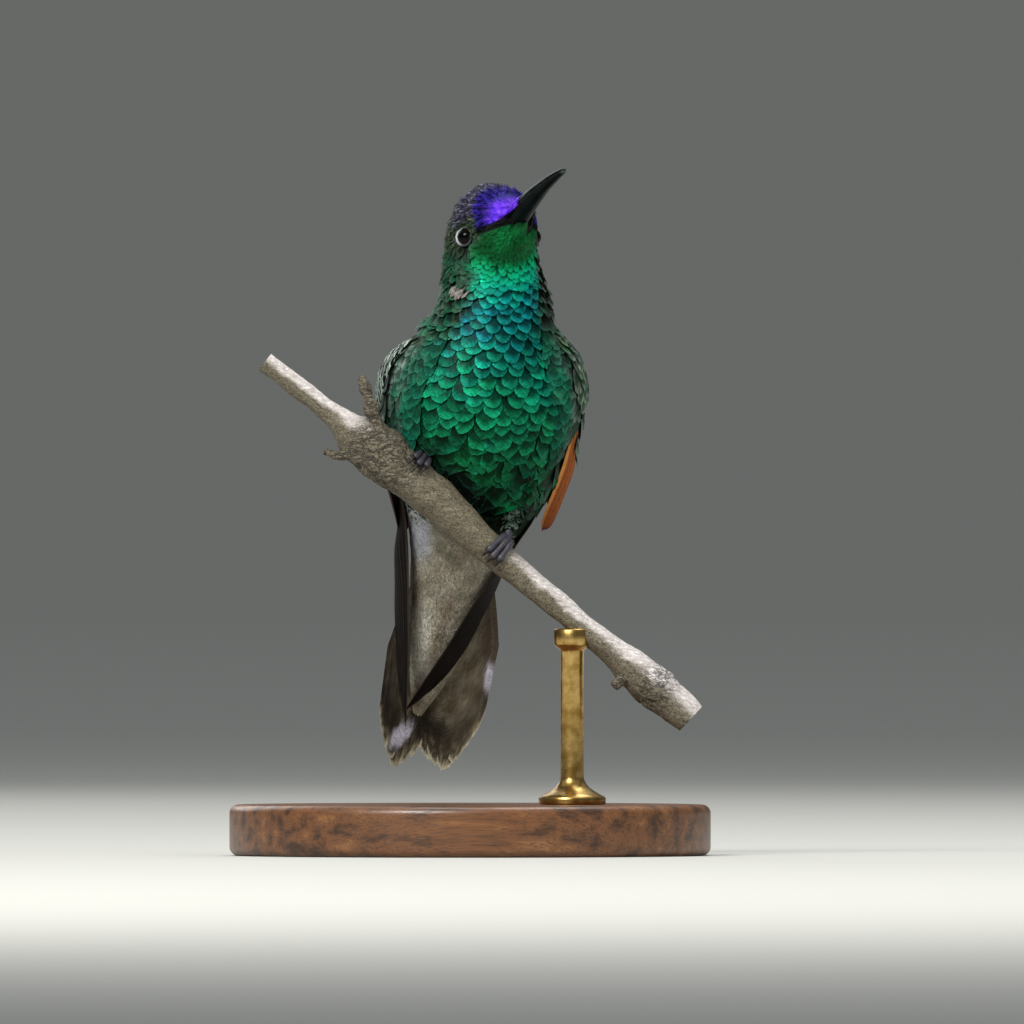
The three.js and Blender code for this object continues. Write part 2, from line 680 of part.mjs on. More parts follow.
for (const side of ['left', 'right']) {
  const { sign } = WINGS[side];
  addTo(bird, `eye_${side}`, solid(eyeball(sign, EYE_RADIUS)), 'eye');
  const wing = (name) => solid(wingPiece(side, name));
  addTo(bird, `wing_${side}_coverts`, cutBy(wing('coverts'), branchCutter), 'bronze');
  const behind = cutters[side].coverts;
  addTo(bird, `wing_${side}_secondaries`, cutBy(wing('secondaries'), behind), 'rufous');
  addTo(bird, `wing_${side}_primaries`, cutBy(wing('primaries'), behind), 'flight');
  addTo(bird, `thigh_${side}`, cutBy(thigh(side), branchCutter), 'green');
  addTo(bird, `foot_${side}`, footPieces[side], 'foot');
}

addTo(bird, 'perch', perch(), 'bark');
addTo(object, 'stand_base', standBase(), 'wood');
addTo(object, 'stand_rod', standRod(perch(0.1)), 'brass');

export default object;
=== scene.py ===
import bpy
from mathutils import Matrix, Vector
import numpy as np


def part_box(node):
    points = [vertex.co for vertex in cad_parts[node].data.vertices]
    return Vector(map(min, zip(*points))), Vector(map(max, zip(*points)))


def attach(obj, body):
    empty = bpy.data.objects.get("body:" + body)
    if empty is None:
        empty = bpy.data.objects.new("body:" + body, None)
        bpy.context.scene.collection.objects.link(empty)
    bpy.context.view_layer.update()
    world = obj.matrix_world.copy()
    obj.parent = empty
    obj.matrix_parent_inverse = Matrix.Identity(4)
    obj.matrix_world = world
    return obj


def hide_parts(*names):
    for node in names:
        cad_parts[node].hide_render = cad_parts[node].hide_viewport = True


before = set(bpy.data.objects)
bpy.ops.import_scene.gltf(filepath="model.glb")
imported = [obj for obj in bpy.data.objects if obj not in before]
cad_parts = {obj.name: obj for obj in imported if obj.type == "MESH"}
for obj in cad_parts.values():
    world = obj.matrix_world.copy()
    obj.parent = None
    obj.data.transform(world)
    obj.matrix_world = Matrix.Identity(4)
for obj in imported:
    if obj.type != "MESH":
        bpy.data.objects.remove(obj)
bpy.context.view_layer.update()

# ---- Stand base ---------------------------------------------------------------------------
# A turned disc of oiled walnut with eased edges, which the brass rod is let into.
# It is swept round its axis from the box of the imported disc.

MM = 0.001


def ring_faces(rows, sides):
    """Faces of a closed skin over rings: quads between rings, and a fan to a pole at each end.

    Ring points come first, row by row, then the first pole and the last one."""
    index = np.arange(rows * sides).reshape(rows, sides)
    turned_index = np.roll(index, -1, axis=1)
    quads = np.stack([index[:-1], turned_index[:-1], turned_index[1:], index[1:]], -1).reshape(-1, 4)
    first, last = rows * sides, rows * sides + 1
    start = np.stack([turned_index[0], index[0], np.full(sides, first)], -1)
    end = np.stack([index[-1], turned_index[-1], np.full(sides, last)], -1)
    return [quads, np.concatenate([start, end])]


def outward(points, faces):
    """The faces, turned round if the volume they enclose is negative."""
    volume = 0.0
    for face in faces:
        corner = points[face]
        for k in range(1, face.shape[1] - 1):
            volume += np.einsum("ij,ij->", corner[:, 0], np.cross(corner[:, k], corner[:, k + 1]))
    return [face[:, ::-1] for face in faces] if volume < 0 else list(faces)


def tube(rings):
    """A closed shape over rings (rows, sides, 3), its ends drawn in to the rings' middles."""
    poles = rings[[0, -1]].mean(axis=1)
    points = np.concatenate([rings.reshape(-1, 3), poles])
    return {"points": points, "faces": outward(points, ring_faces(*rings.shape[:2]))}


def circle(sides):
    """Angles at even steps round a full turn, in radians."""
    return np.linspace(0, 2 * np.pi, sides, endpoint=False)


def turned(profile, sides, centre=(0.0, 0.0)):
    """A turned solid: each row (radius, height) swept round an upright axis through centre."""
    radius, height = np.array(profile, float).T
    angle = circle(sides)
    x = centre[0] + radius[:, None] * np.cos(angle)
    y = centre[1] + radius[:, None] * np.sin(angle)
    return tube(np.stack([x, y, np.broadcast_to(height[:, None], x.shape)], -1))


def add_piece(name, shapes, finish, slot, *replaced):
    """Joins shapes into one smooth mesh object in metres, riding on the one body.

    A shape may carry a colour for each point (tint), the barbs' own coordinates in mm (fibre),
    its place on the bake's map (bake), and which of its points lie on a sharp rim (rim)."""
    starts = np.cumsum([0] + [len(shape["points"]) for shape in shapes])
    points = np.concatenate([shape["points"] for shape in shapes])
    rings = [face + start for shape, start in zip(shapes, starts) for face in shape["faces"]]
    corners = np.concatenate([ring.ravel() for ring in rings]).astype(np.int32)
    sizes = np.concatenate([np.full(len(ring), ring.shape[1]) for ring in rings])
    mesh = bpy.data.meshes.new(name)
    mesh.vertices.add(len(points))
    mesh.vertices.foreach_set("co", (points * MM).astype(np.float32).ravel())
    mesh.loops.add(len(corners))
    mesh.loops.foreach_set("vertex_index", corners)
    mesh.polygons.add(len(sizes))
    mesh.polygons.foreach_set("loop_start", (np.cumsum(sizes) - sizes).astype(np.int32))
    mesh.polygons.foreach_set("use_smooth", np.ones(len(sizes), bool))
    mesh.update(calc_edges=True)
    for key, map_name in (("bake", "OFBake"), ("fibre", "Fibre")):
        if key in shapes[0]:
            place = np.concatenate([shape[key] for shape in shapes])[corners]
            layer = mesh.uv_layers.new(name=map_name)
            layer.uv.foreach_set("vector", place.astype(np.float32).ravel())
    if "rim" in shapes[0]:
        rim = np.concatenate([shape["rim"] for shape in shapes])
        ends = np.empty(len(mesh.edges) * 2, np.int32)
        mesh.edges.foreach_get("vertices", ends)
        sharp = mesh.attributes.new("sharp_edge", "BOOLEAN", "EDGE")
        sharp.data.foreach_set("value", rim[ends.reshape(-1, 2)].all(axis=1))
    if "tint" in shapes[0]:
        tint = np.concatenate([shape["tint"] for shape in shapes])
        colour = np.concatenate([tint, np.ones((len(tint), 1))], axis=1)
        layer = mesh.color_attributes.new("Plumage", "FLOAT_COLOR", "POINT")
        layer.data.foreach_set("color", colour.astype(np.float32).ravel())
    mesh.materials.append(finish)
    piece = bpy.data.objects.new(name, mesh)
    bpy.context.scene.collection.objects.link(piece)
    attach(piece, "root")
    if replaced:
        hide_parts(*replaced)


def linear(code):
    """The linear red, green and blue of a six-figure colour code. Any other value is kept."""
    if not isinstance(code, str):
        return code
    shown = np.array([int(code[k : k + 2], 16) for k in (0, 2, 4)]) / 255
    return np.where(shown <= 0.04045, shown / 12.92, ((shown + 0.055) / 1.055) ** 2.4)


class Field:
    """A shader socket that takes part in sums. Each operator adds a Math node."""

    def __init__(self, tree, socket):
        self.tree, self.socket = tree, socket

    def math(self, operation, *others):
        """A Math node that works on this field and the others."""
        node = self.tree.nodes.new("ShaderNodeMath")
        node.operation = operation
        for place, value in zip(node.inputs, (self, *others)):
            feed(self.tree, place, value)
        return Field(self.tree, node.outputs[0])

    def __add__(self, other):
        return self.math("ADD", other)

    def __mul__(self, other):
        return self.math("MULTIPLY", other)

    def __sub__(self, other):
        return self.math("SUBTRACT", other)

    def __rsub__(self, other):
        return self * -1 + other

    def __abs__(self):
        return self.math("ABSOLUTE")

    __radd__ = __add__
    __rmul__ = __mul__


def feed(tree, socket, value):
    """Links a field to a socket, or sets the socket to a plain number, colour or vector."""
    if isinstance(value, Field):
        tree.links.new(value.socket, socket)
    elif isinstance(value, str) or (np.ndim(value) and socket.type == "RGBA"):
        socket.default_value = (*linear(value), 1.0)
    else:
        socket.default_value = value


class Finish:
    """A material in the making, on one Principled shader."""

    def __init__(self, name):
        self.material = bpy.data.materials.new(name)
        self.material.use_nodes = True
        self.tree = self.material.node_tree
        self.shader = self.tree.nodes["Principled BSDF"]

    def node(self, kind, settings=None, output=0, **sockets):
        """Any node: its settings first, then its sockets by name, _ for a space."""
        node = self.tree.nodes.new("ShaderNode" + kind)
        for key, value in (settings or {}).items():
            setattr(node, key, value)
        for key, value in sockets.items():
            feed(self.tree, node.inputs[key.replace("_", " ")], value)
        return Field(self.tree, node.outputs[output])

    def place(self, scale=(1, 1, 1), rotation=(0, 0, 0)):
        """Object coordinates in mm, turned and stretched by a Mapping node."""
        at = self.node("TexCoord", output="Object")
        return self.node("Mapping", Vector=at, Rotation=rotation, Scale=tuple(s / MM for s in scale))

    def markings(self):
        """The colour that each point of the mesh carries."""
        return self.node("VertexColor", {"layer_name": "Plumage"})

    def noise(self, at, scale, detail=3.0, roughness=0.55):
        """Cloudy noise from 0 to 1 at a place in mm."""
        return self.node("TexNoise", Vector=at, Scale=scale, Detail=detail, Roughness=roughness)

    def ramp(self, value, *stops):
        """A smooth ramp through stops (place, grey or colour)."""
        node = self.tree.nodes.new("ShaderNodeValToRGB")
        node.color_ramp.interpolation = "EASE"
        for k, (place, colour) in enumerate(stops):
            elements = node.color_ramp.elements
            element = elements[k] if k < 2 else elements.new(place)
            element.position = place
            element.color = (*(linear(colour) if isinstance(colour, str) else [colour] * 3), 1.0)
        feed(self.tree, node.inputs[0], value)
        return Field(self.tree, node.outputs[0])

    def mix(self, share, one, other, blend="MIX"):
        """One colour turned into the other by share."""
        node = self.tree.nodes.new("ShaderNodeMix")
        node.data_type, node.blend_type = "RGBA", blend
        for socket, value in zip((node.inputs[0], node.inputs[6], node.inputs[7]), (share, one, other)):
            feed(self.tree, socket, value)
        return Field(self.tree, node.outputs[2])

    def bump(self, height, depth_mm, strength):
        """A surface normal from a height of 0 to 1 that stands for depth_mm."""
        return self.node("Bump", Height=height, Distance=depth_mm * MM, Strength=strength)

    def surface(self, **sockets):
        """Sets the shader's sockets and gives the finished material."""
        for key, value in sockets.items():
            feed(self.tree, self.shader.inputs[key.replace("_", " ")], value)
        return self.material


def walnut_finish():
    """Dark straight-grained walnut: rings stretched along X, fine pores, a thin oil coat."""
    walnut = Finish("oiled_walnut")
    grain = walnut.noise(walnut.place(scale=(0.035, 0.5, 0.5)), 1.0, 4.0, 0.6)
    pores = walnut.noise(walnut.place(scale=(0.25, 5.0, 5.0)), 1.0, 2.0, 0.6)
    tone = walnut.ramp(grain, (0.32, "3a2415"), (0.55, "6b4426"), (0.72, "845a34"))
    dark = walnut.ramp(pores, (0.50, 0.0), (0.66, 1.0))
    return walnut.surface(
        Base_Color=walnut.mix(dark * 0.55, tone, "2b190e"),
        Roughness=0.38 + dark * 0.15,
        Coat_Weight=0.25,
        Coat_Roughness=0.22,
        Normal=walnut.bump(grain * 0.4 - pores, 0.06, 0.5),
    )


low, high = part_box("stand_base")
base_radius, base_top = high[0] / MM, high[2] / MM
edge = 1.2
eased = [
    (base_radius - edge + edge * np.cos(a), height + edge * np.sin(a))
    for height, start in ((edge, -np.pi / 2), (base_top - edge, 0.0))
    for a in start + np.linspace(0, np.pi / 2, 9)
]
underside = [(r, 0.0) for r in (0.02, 12.0, 24.0)]
top_side = [(r, base_top) for r in (26.0, 18.0, 9.0, 0.02)]
base_shape = turned(underside + eased + top_side, 160)
add_piece("walnut_base", [base_shape], walnut_finish(), "stand_wood", "stand_base")

# ---- Stand rod ----------------------------------------------------------------------------
# A slim brass rod turned with a foot flange and a collar at its top.
# It stops at the middle of the branch.


def brass_finish():
    """Satin brass, with fine turning lines round the rod."""
    brass = Finish("satin_brass")
    lines = brass.noise(brass.place(scale=(0.3, 0.3, 14.0)), 1.0, 2.0)
    wear = brass.noise(brass.place(), 0.6, 3.0)
    return brass.surface(
        Base_Color=brass.ramp(wear, (0.3, "9c7a3e"), (0.7, "cfae6c")),
        Metallic=1.0,
        Roughness=0.22 + lines * 0.16,
        Normal=brass.bump(lines, 0.012, 0.4),
    )


low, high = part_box("stand_rod")
rod_centre = ((low[0] + high[0]) / 2 / MM, (low[1] + high[1]) / 2 / MM)
rod_foot, rod_top = low[2] / MM, high[2] / MM - 1.2
flange, shaft, collar = 4.6, 1.6, 2.5
rod_profile = [
    (0.02, rod_foot), (flange - 0.15, rod_foot), (flange, rod_foot + 0.15),
    (flange, rod_foot + 0.85), (flange - 0.15, rod_foot + 1.05), (flange - 0.8, rod_foot + 1.4),
    (flange - 1.5, rod_foot + 1.8), (shaft + 0.75, rod_foot + 2.3), (shaft + 0.3, rod_foot + 2.9),
    (shaft + 0.05, rod_foot + 3.4), (shaft, rod_foot + 3.8), (shaft, rod_top - 3.2),
    (shaft + 0.1, rod_top - 2.9), (collar - 0.1, rod_top - 2.3), (collar, rod_top - 2.1),
    (collar, rod_top - 0.2), (collar - 0.15, rod_top), (0.02, rod_top),
]
rod_shape = turned(rod_profile, 64, rod_centre)
add_piece("brass_rod", [rod_shape], brass_finish(), "stand_brass", "stand_rod")

# ---- Perch --------------------------------------------------------------------------------
# A short cut length of dry branch with an old knot, two broken shoots and a bud node.
# Its bark is weathered grey-brown with fissures round the knots; along parts of its top it is silver, partly
# bleach and partly a painted highlight.

GRIP = np.array([0.0, -4.0, 46.0])  # where the bird sits over the branch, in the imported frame

BRANCH = np.array([  # along X, along Z and radius, from the upper end to the lower one
    [-28.1, 21.7, 1.4], [-25.2, 19.4, 1.45], [-21.6, 16.6, 1.45], [-18.2, 13.9, 1.75],
    [-15.4, 11.5, 3.2], [-12.4, 9.2, 3.8], [-8.6, 6.2, 3.4], [-4.3, 2.6, 3.0], [-0.4, -1.1, 2.5],
    [4.2, -5.2, 2.05], [9.6, -9.7, 1.85], [14.8, -14.1, 1.75], [19.0, -17.6, 1.9],
    [22.0, -20.1, 2.6], [24.8, -22.5, 2.95], [27.6, -24.9, 2.65], [30.2, -27.3, 2.3],
])
SHOOTS = {  # x, y, z and radius, from the bark to the broken tip
    "spur": [
        [-12.2, -1.2, 11.6, 1.5], [-13.0, -1.5, 13.8, 0.95], [-13.5, -1.6, 15.3, 1.25],
        [-14.0, -1.7, 16.9, 0.75], [-14.4, -1.6, 18.2, 1.0], [-14.9, -1.5, 19.9, 0.45],
    ],
    "twig": [
        [-15.2, -0.8, 9.6, 1.2], [-17.0, -1.2, 8.9, 0.75], [-18.6, -1.5, 8.9, 0.6], [-20.0, -1.6, 9.4, 0.5],
    ],
    "snag": [[22.2, -0.8, -20.6, 1.4], [20.8, -1.4, -21.8, 1.0], [19.7, -1.8, -22.8, 0.7]],
}


def spline(rows, place):
    """Catmull-Rom curve through rows at fractional places, with the end rows repeated."""
    last = len(rows) - 1
    i = np.clip(np.floor(place).astype(int), 0, last - 1)
    f = (place - i)[..., None]
    a, b, c, d = (rows[np.clip(i + k, 0, last)] for k in (-1, 0, 1, 2))
    rise, bend, twist = c - a, 2 * a - 5 * b + 4 * c - d, 3 * b - a - 3 * c + d
    return b + (rise * f + bend * f**2 + twist * f**3) / 2


def unit(vector):
    """Vectors of length 1."""
    return vector / np.linalg.norm(vector, axis=-1, keepdims=True)


def spokes(one, other, angle):
    """Ways turned by an angle in radians from one towards other, which is square to it."""
    return one * np.cos(angle)[..., None] + other * np.sin(angle)[..., None]


WAVES = 14


def lumps(points, size, seed):
    """Smooth noise from -1 to 1 about: the mean of sine waves of one length in random directions."""
    rng = np.random.default_rng(seed)
    way = unit(rng.normal(size=(WAVES, 3))) * (2 * np.pi / size) * rng.uniform(0.7, 1.4, (WAVES, 1))
    return np.sin(points @ way.T + rng.uniform(0, 2 * np.pi, WAVES)).mean(axis=-1) * 2.2


def branch_frame(place):
    """A place on the branch: its middle, its direction, its upper side and its radius."""
    row = spline(BRANCH, place)
    near = spline(BRANCH, np.clip(place + 0.1, 0, len(BRANCH) - 1))
    far = spline(BRANCH, np.clip(place - 0.1, 0, len(BRANCH) - 1))
    middle = np.stack([row[..., 0], 0 * place, row[..., 1]], -1)
    along = unit(np.stack([near[..., 0] - far[..., 0], 0 * place, near[..., 1] - far[..., 1]], -1))
    top = np.stack([-along[..., 2], 0 * place, along[..., 0]], -1)
    return middle, along, top, row[..., 2]


def beside_branch(place, angle, distance, shift=0.0):
    """A point at an angle in degrees from the branch's top, positive towards the bird's front."""
    middle, along, top, _ = branch_frame(place)
    way = spokes(top, np.array([0.0, -1.0, 0.0]), np.radians(angle))
    return middle + along * np.asarray(shift)[..., None] + way * np.asarray(distance)[..., None]


def bark_relief(points, knotty):
    """Height of the bark in mm: soft lumps, and creases where wave fronts cross zero."""
    creases = 1 - np.minimum(np.abs(lumps(points * [1, 1.3, 1], 3.2, 4)) * 3.2, 1)
    fine = 1 - np.minimum(np.abs(lumps(points, 1.3, 7)) * 3.0, 1)
    return 0.12 * lumps(points, 5.0, 3) - knotty**2 * (0.34 * creases + 0.14 * fine) - 0.03 * fine


def sheet(a, b):
    """Two parameters as whole grids: a changes from row to row, and b along each row."""
    return np.meshgrid(a, b, indexing="ij")


KNOTS = ((5.0, 1.5, 0.65), (14.2, 0.9, 0.6))  # place along the branch, length and strength


def branch_shape():
    """The branch: rings about its bent line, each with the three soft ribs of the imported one."""
    place, angle = sheet(np.linspace(0, len(BRANCH) - 1, 300), np.linspace(0, 360, 72, endpoint=False))
    radius = branch_frame(place)[3]
    lump = 1 + 0.03 * np.sin(3 * np.radians(angle) + place * 1.3) + 0.02 * np.sin(5 * place)
    bare = beside_branch(place, angle, radius * lump)
    knotty = 0.35 + sum(much * np.exp(-(((place - at) / wide) ** 2)) for at, wide, much in KNOTS)
    rings = beside_branch(place, angle, radius * lump + bark_relief(bare, knotty))
    shape = tube(rings + GRIP)
    # topness and bleach_and_highlight carry a painted highlight: silver along the lit top of parts of the
    # branch, partly real bleach.
    topness = np.cos(np.radians(angle)) * 0.5 + 0.5
    tone = np.concatenate([topness.ravel(), [0.5, 0.5]])
    bleach_and_highlight = np.append(np.interp(place, [3.4, 4.4, 8.9, 9.6], [1, 0, 0, 1]).ravel(), [1, 1])
    shape["tint"] = np.stack([tone, np.append(knotty.ravel(), [1, 1]), bleach_and_highlight], -1)
    return shape


def shoot_shape(rows):
    """A broken shoot: rings about a bent line of points with radii, roughened like the bark."""
    rows = np.array(rows)
    place = np.linspace(0, len(rows) - 1, 46)
    line = spline(rows, place)
    along = unit(np.gradient(line[:, :3], axis=0))
    side = unit(np.cross(along, [0.2, 1.0, 0.1]))
    up = np.cross(along, side)
    spoke = spokes(side[:, None], up[:, None], circle(28))
    bare = line[:, None, :3] + spoke * line[:, None, 3:]
    rings = bare + spoke * bark_relief(bare, 0.7)[..., None]
    shape = tube(rings + GRIP)
    tone = np.full(len(shape["points"]), 0.35)
    shape["tint"] = np.stack([tone, tone * 0 + 1, tone * 0], -1)
    return shape


def bark_finish():
    """Weathered bark: silver along the top, partly bleach and partly a painted highlight, elsewhere stippled
    grey-brown, creased at knots.
    """
    bark = Finish("weathered_bark")
    kept = bark.markings()
    topness, knotty, bleach_and_highlight = (bark.node("SeparateColor", output=k, Color=kept) for k in range(3))
    slope = (0, 0.73, 0)  # the branch's own lean
    streaks = bark.noise(bark.place((0.16, 1.0, 1.0), slope), 2.6, 5.0, 0.65)
    patches = bark.noise(bark.place(), 0.45, 3.0)
    cracks = bark.noise(bark.place((0.5, 1.2, 1.2), slope), 1.5, 4.0, 0.6)
    crack = bark.ramp(abs(cracks - 0.5), (0.0, 1.0), (0.07, 0.0)) * bark.ramp(knotty, (0.5, 0.0), (0.9, 1.0))
    dots = bark.noise(bark.place((0.7, 1.0, 1.0), slope), 6.0, 3.0)
    specks = bark.ramp(dots, (0.50, 0.0), (0.57, 1.0))
    silver = bark.ramp(streaks, (0.28, "8d8580"), (0.48, "b9b1ac"), (0.68, "dedad8"))
    ochre = bark.ramp(streaks, (0.30, "4a4133"), (0.52, "6b6452"), (0.74, "878069"))
    # Painted highlight, partly bleach: silver over the branch's top where the mask allows it.
    above = bark.ramp(topness + patches * 0.5, (0.72, 0.0), (1.02, 1.0)) * bleach_and_highlight
    tone = bark.mix(above, ochre, silver)
    tone = bark.mix(specks * (1 - above * 0.75) * 0.72, tone, "2d261c")
    tone = bark.mix(crack * 0.85, tone, "241d17")
    return bark.surface(
        Base_Color=tone,
        Roughness=0.62 + patches * 0.2,
        Normal=bark.bump(streaks * 0.5 - crack * 0.9 - specks * 0.2, 0.12, 0.8),
    )


shapes = [branch_shape()] + [shoot_shape(rows) for rows in SHOOTS.values()]
add_piece("cut_branch", shapes, bark_finish(), "bark", "perch")

# ---- Skin ---------------------------------------------------------------------------------
# One skin over the whole body, from the undertail coverts to the bill's root, with the thighs.
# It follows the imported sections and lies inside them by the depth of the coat.

BODY = np.array([  # middle, turn to the left, half width, depth to the belly, depth to the back
    [-7.2, 17.5, -26.5, 0, 0.7, 0.5, 0.4], [-6.0, 16.5, -22.0, 0, 2.6, 1.6, 0.6],
    [-4.4, 15.1, -16.0, 1, 4.3, 2.9, 1.3], [-3.0, 13.9, -10.5, 2, 5.5, 4.0, 3.0],
    [-1.8, 12.7, -5.5, 3, 6.5, 5.0, 5.0], [-0.9, 11.6, -1.0, 4, 7.9, 6.6, 6.8],
    [-0.1, 10.3, 3.2, 5, 10.0, 8.6, 8.6], [0.7, 8.4, 8.2, 5, 12.1, 10.4, 9.8],
    [1.3, 6.2, 13.6, 5, 13.1, 11.6, 10.5], [1.7, 4.3, 18.6, 5, 13.0, 11.8, 10.3],
    [2.2, 2.8, 23.0, 6, 10.9, 10.7, 9.2], [2.95, 1.5, 27.2, 8, 8.7, 8.9, 7.8],
    [3.05, 0.3, 31.2, 12, 7.2, 7.3, 6.8], [2.95, -0.9, 34.9, 19, 6.5, 6.3, 6.5],
    [3.25, -2.9, 38.6, 27, 6.1, 5.5, 7.0], [4.43, -5.2, 39.9, 27, 5.5, 4.9, 6.3],
    [5.35, -7.0, 40.7, 27, 4.4, 3.9, 4.9], [6.06, -8.4, 41.4, 27, 2.9, 2.7, 3.2],
    [6.8, -9.5, 41.8, 27, 1.6, 1.4, 1.6],
])
TIP, BILL_END = 0.0, len(BODY) - 1.0  # the body's two ends, in rows
BILL_ROOT = np.array([6.75, -9.45, 41.8])
HEAD_YAW, HEAD_PITCH = np.radians(26.5), np.radians(23.2)
head_left = np.array([np.cos(HEAD_YAW), np.sin(HEAD_YAW), 0.0])
head_level = np.array([np.sin(HEAD_YAW), -np.cos(HEAD_YAW), 0.0])
head_front = spokes(head_level, np.array([0.0, 0.0, 1.0]), HEAD_PITCH)
head_up = np.cross(head_front, head_left)
EYE_RADIUS, EYE_BACK, EYE_SIDE, EYE_DROP = 1.55, 7.2, 4.45, 0.2


def head_point(ahead, left, up):
    """A point of the head from its distances ahead of the bill's root, to the left and up."""
    ahead, left, up = (np.asarray(d, float)[..., None] for d in (ahead, left, up))
    return BILL_ROOT + head_front * ahead + head_left * left + head_up * up


def eye_axes(side):
    """The eye's middle and its gaze, out to the side and forward, with the two ways across it."""
    gaze = unit(head_left * side * 0.84 + head_front * 0.54)
    across = unit(np.cross(gaze, head_up))
    middle = head_point(-EYE_BACK, side * EYE_SIDE, -EYE_DROP - 0.25) + gaze * 0.3
    return middle, gaze, across, np.cross(across, gaze)


def eye_opening(side):
    """The middle of the ring that the lids make round the eye."""
    middle, gaze, _, _ = eye_axes(side)
    return middle + gaze * EYE_RADIUS * 0.68


def body_point(place, theta, out):
    """A point round a section: half ellipses to the back (theta 0) and the belly (pi).

    theta grows to the bird's left. out is added to the section's depths all round."""
    row = spline(BODY, place)
    ahead = spline(BODY, np.clip(place + 0.05, TIP, BILL_END))[..., :3]
    behind = spline(BODY, np.clip(place - 0.05, TIP, BILL_END))[..., :3]
    along = unit(ahead - behind)
    turn = np.radians(row[..., 3])
    left = np.stack([np.cos(turn), np.sin(turn), 0 * turn], -1)
    left = unit(left - along * np.sum(left * along, -1, keepdims=True))
    up = np.cross(along, left)
    depth = np.where(np.cos(theta) > 0, row[..., 6], row[..., 5])
    side = (row[..., 4] + out) * np.sin(theta)
    return row[..., :3] + left * side[..., None] + up * ((depth + out) * np.cos(theta))[..., None]


COAT_PLACES = [0, 1, 3, 5, 11, 13, 14.5, 16, 17, 18]
COAT_DEPTHS = [0.1, 0.3, 0.6, 1.1, 1.1, 0.8, 0.55, 0.4, 0.3, 0.12]


def coat_depth(place):
    """How far the skin lies under the coat's surface, in mm, along the rows of the body."""
    return np.interp(place, COAT_PLACES, COAT_DEPTHS)


def ease(value, low, high):
    """0 below low, 1 above high and a smooth step between. low may be above high."""
    t = np.clip((value - low) / (high - low), 0, 1)
    return t * t * (3 - 2 * t)


def blend(one, other, share):
    """One colour turned into the other by share. Either may be a colour code."""
    one, other = linear(one), linear(other)
    return one + (other - one) * share[..., None]


GORGET_PLACES = [5.0, 6.2, 7.5, 8.8, 10.0, 10.8, 11.6, 12.3, 13.0, 13.7, 14.4, 15.0]
GORGET_CODES = "020b04 042a18 065a34 06764e 06765a 057062 05696b 048a80 05b08c 08bc80 067a44 044c20"
GORGET_COLOURS = np.array([linear(code) for code in GORGET_CODES.split()]).T


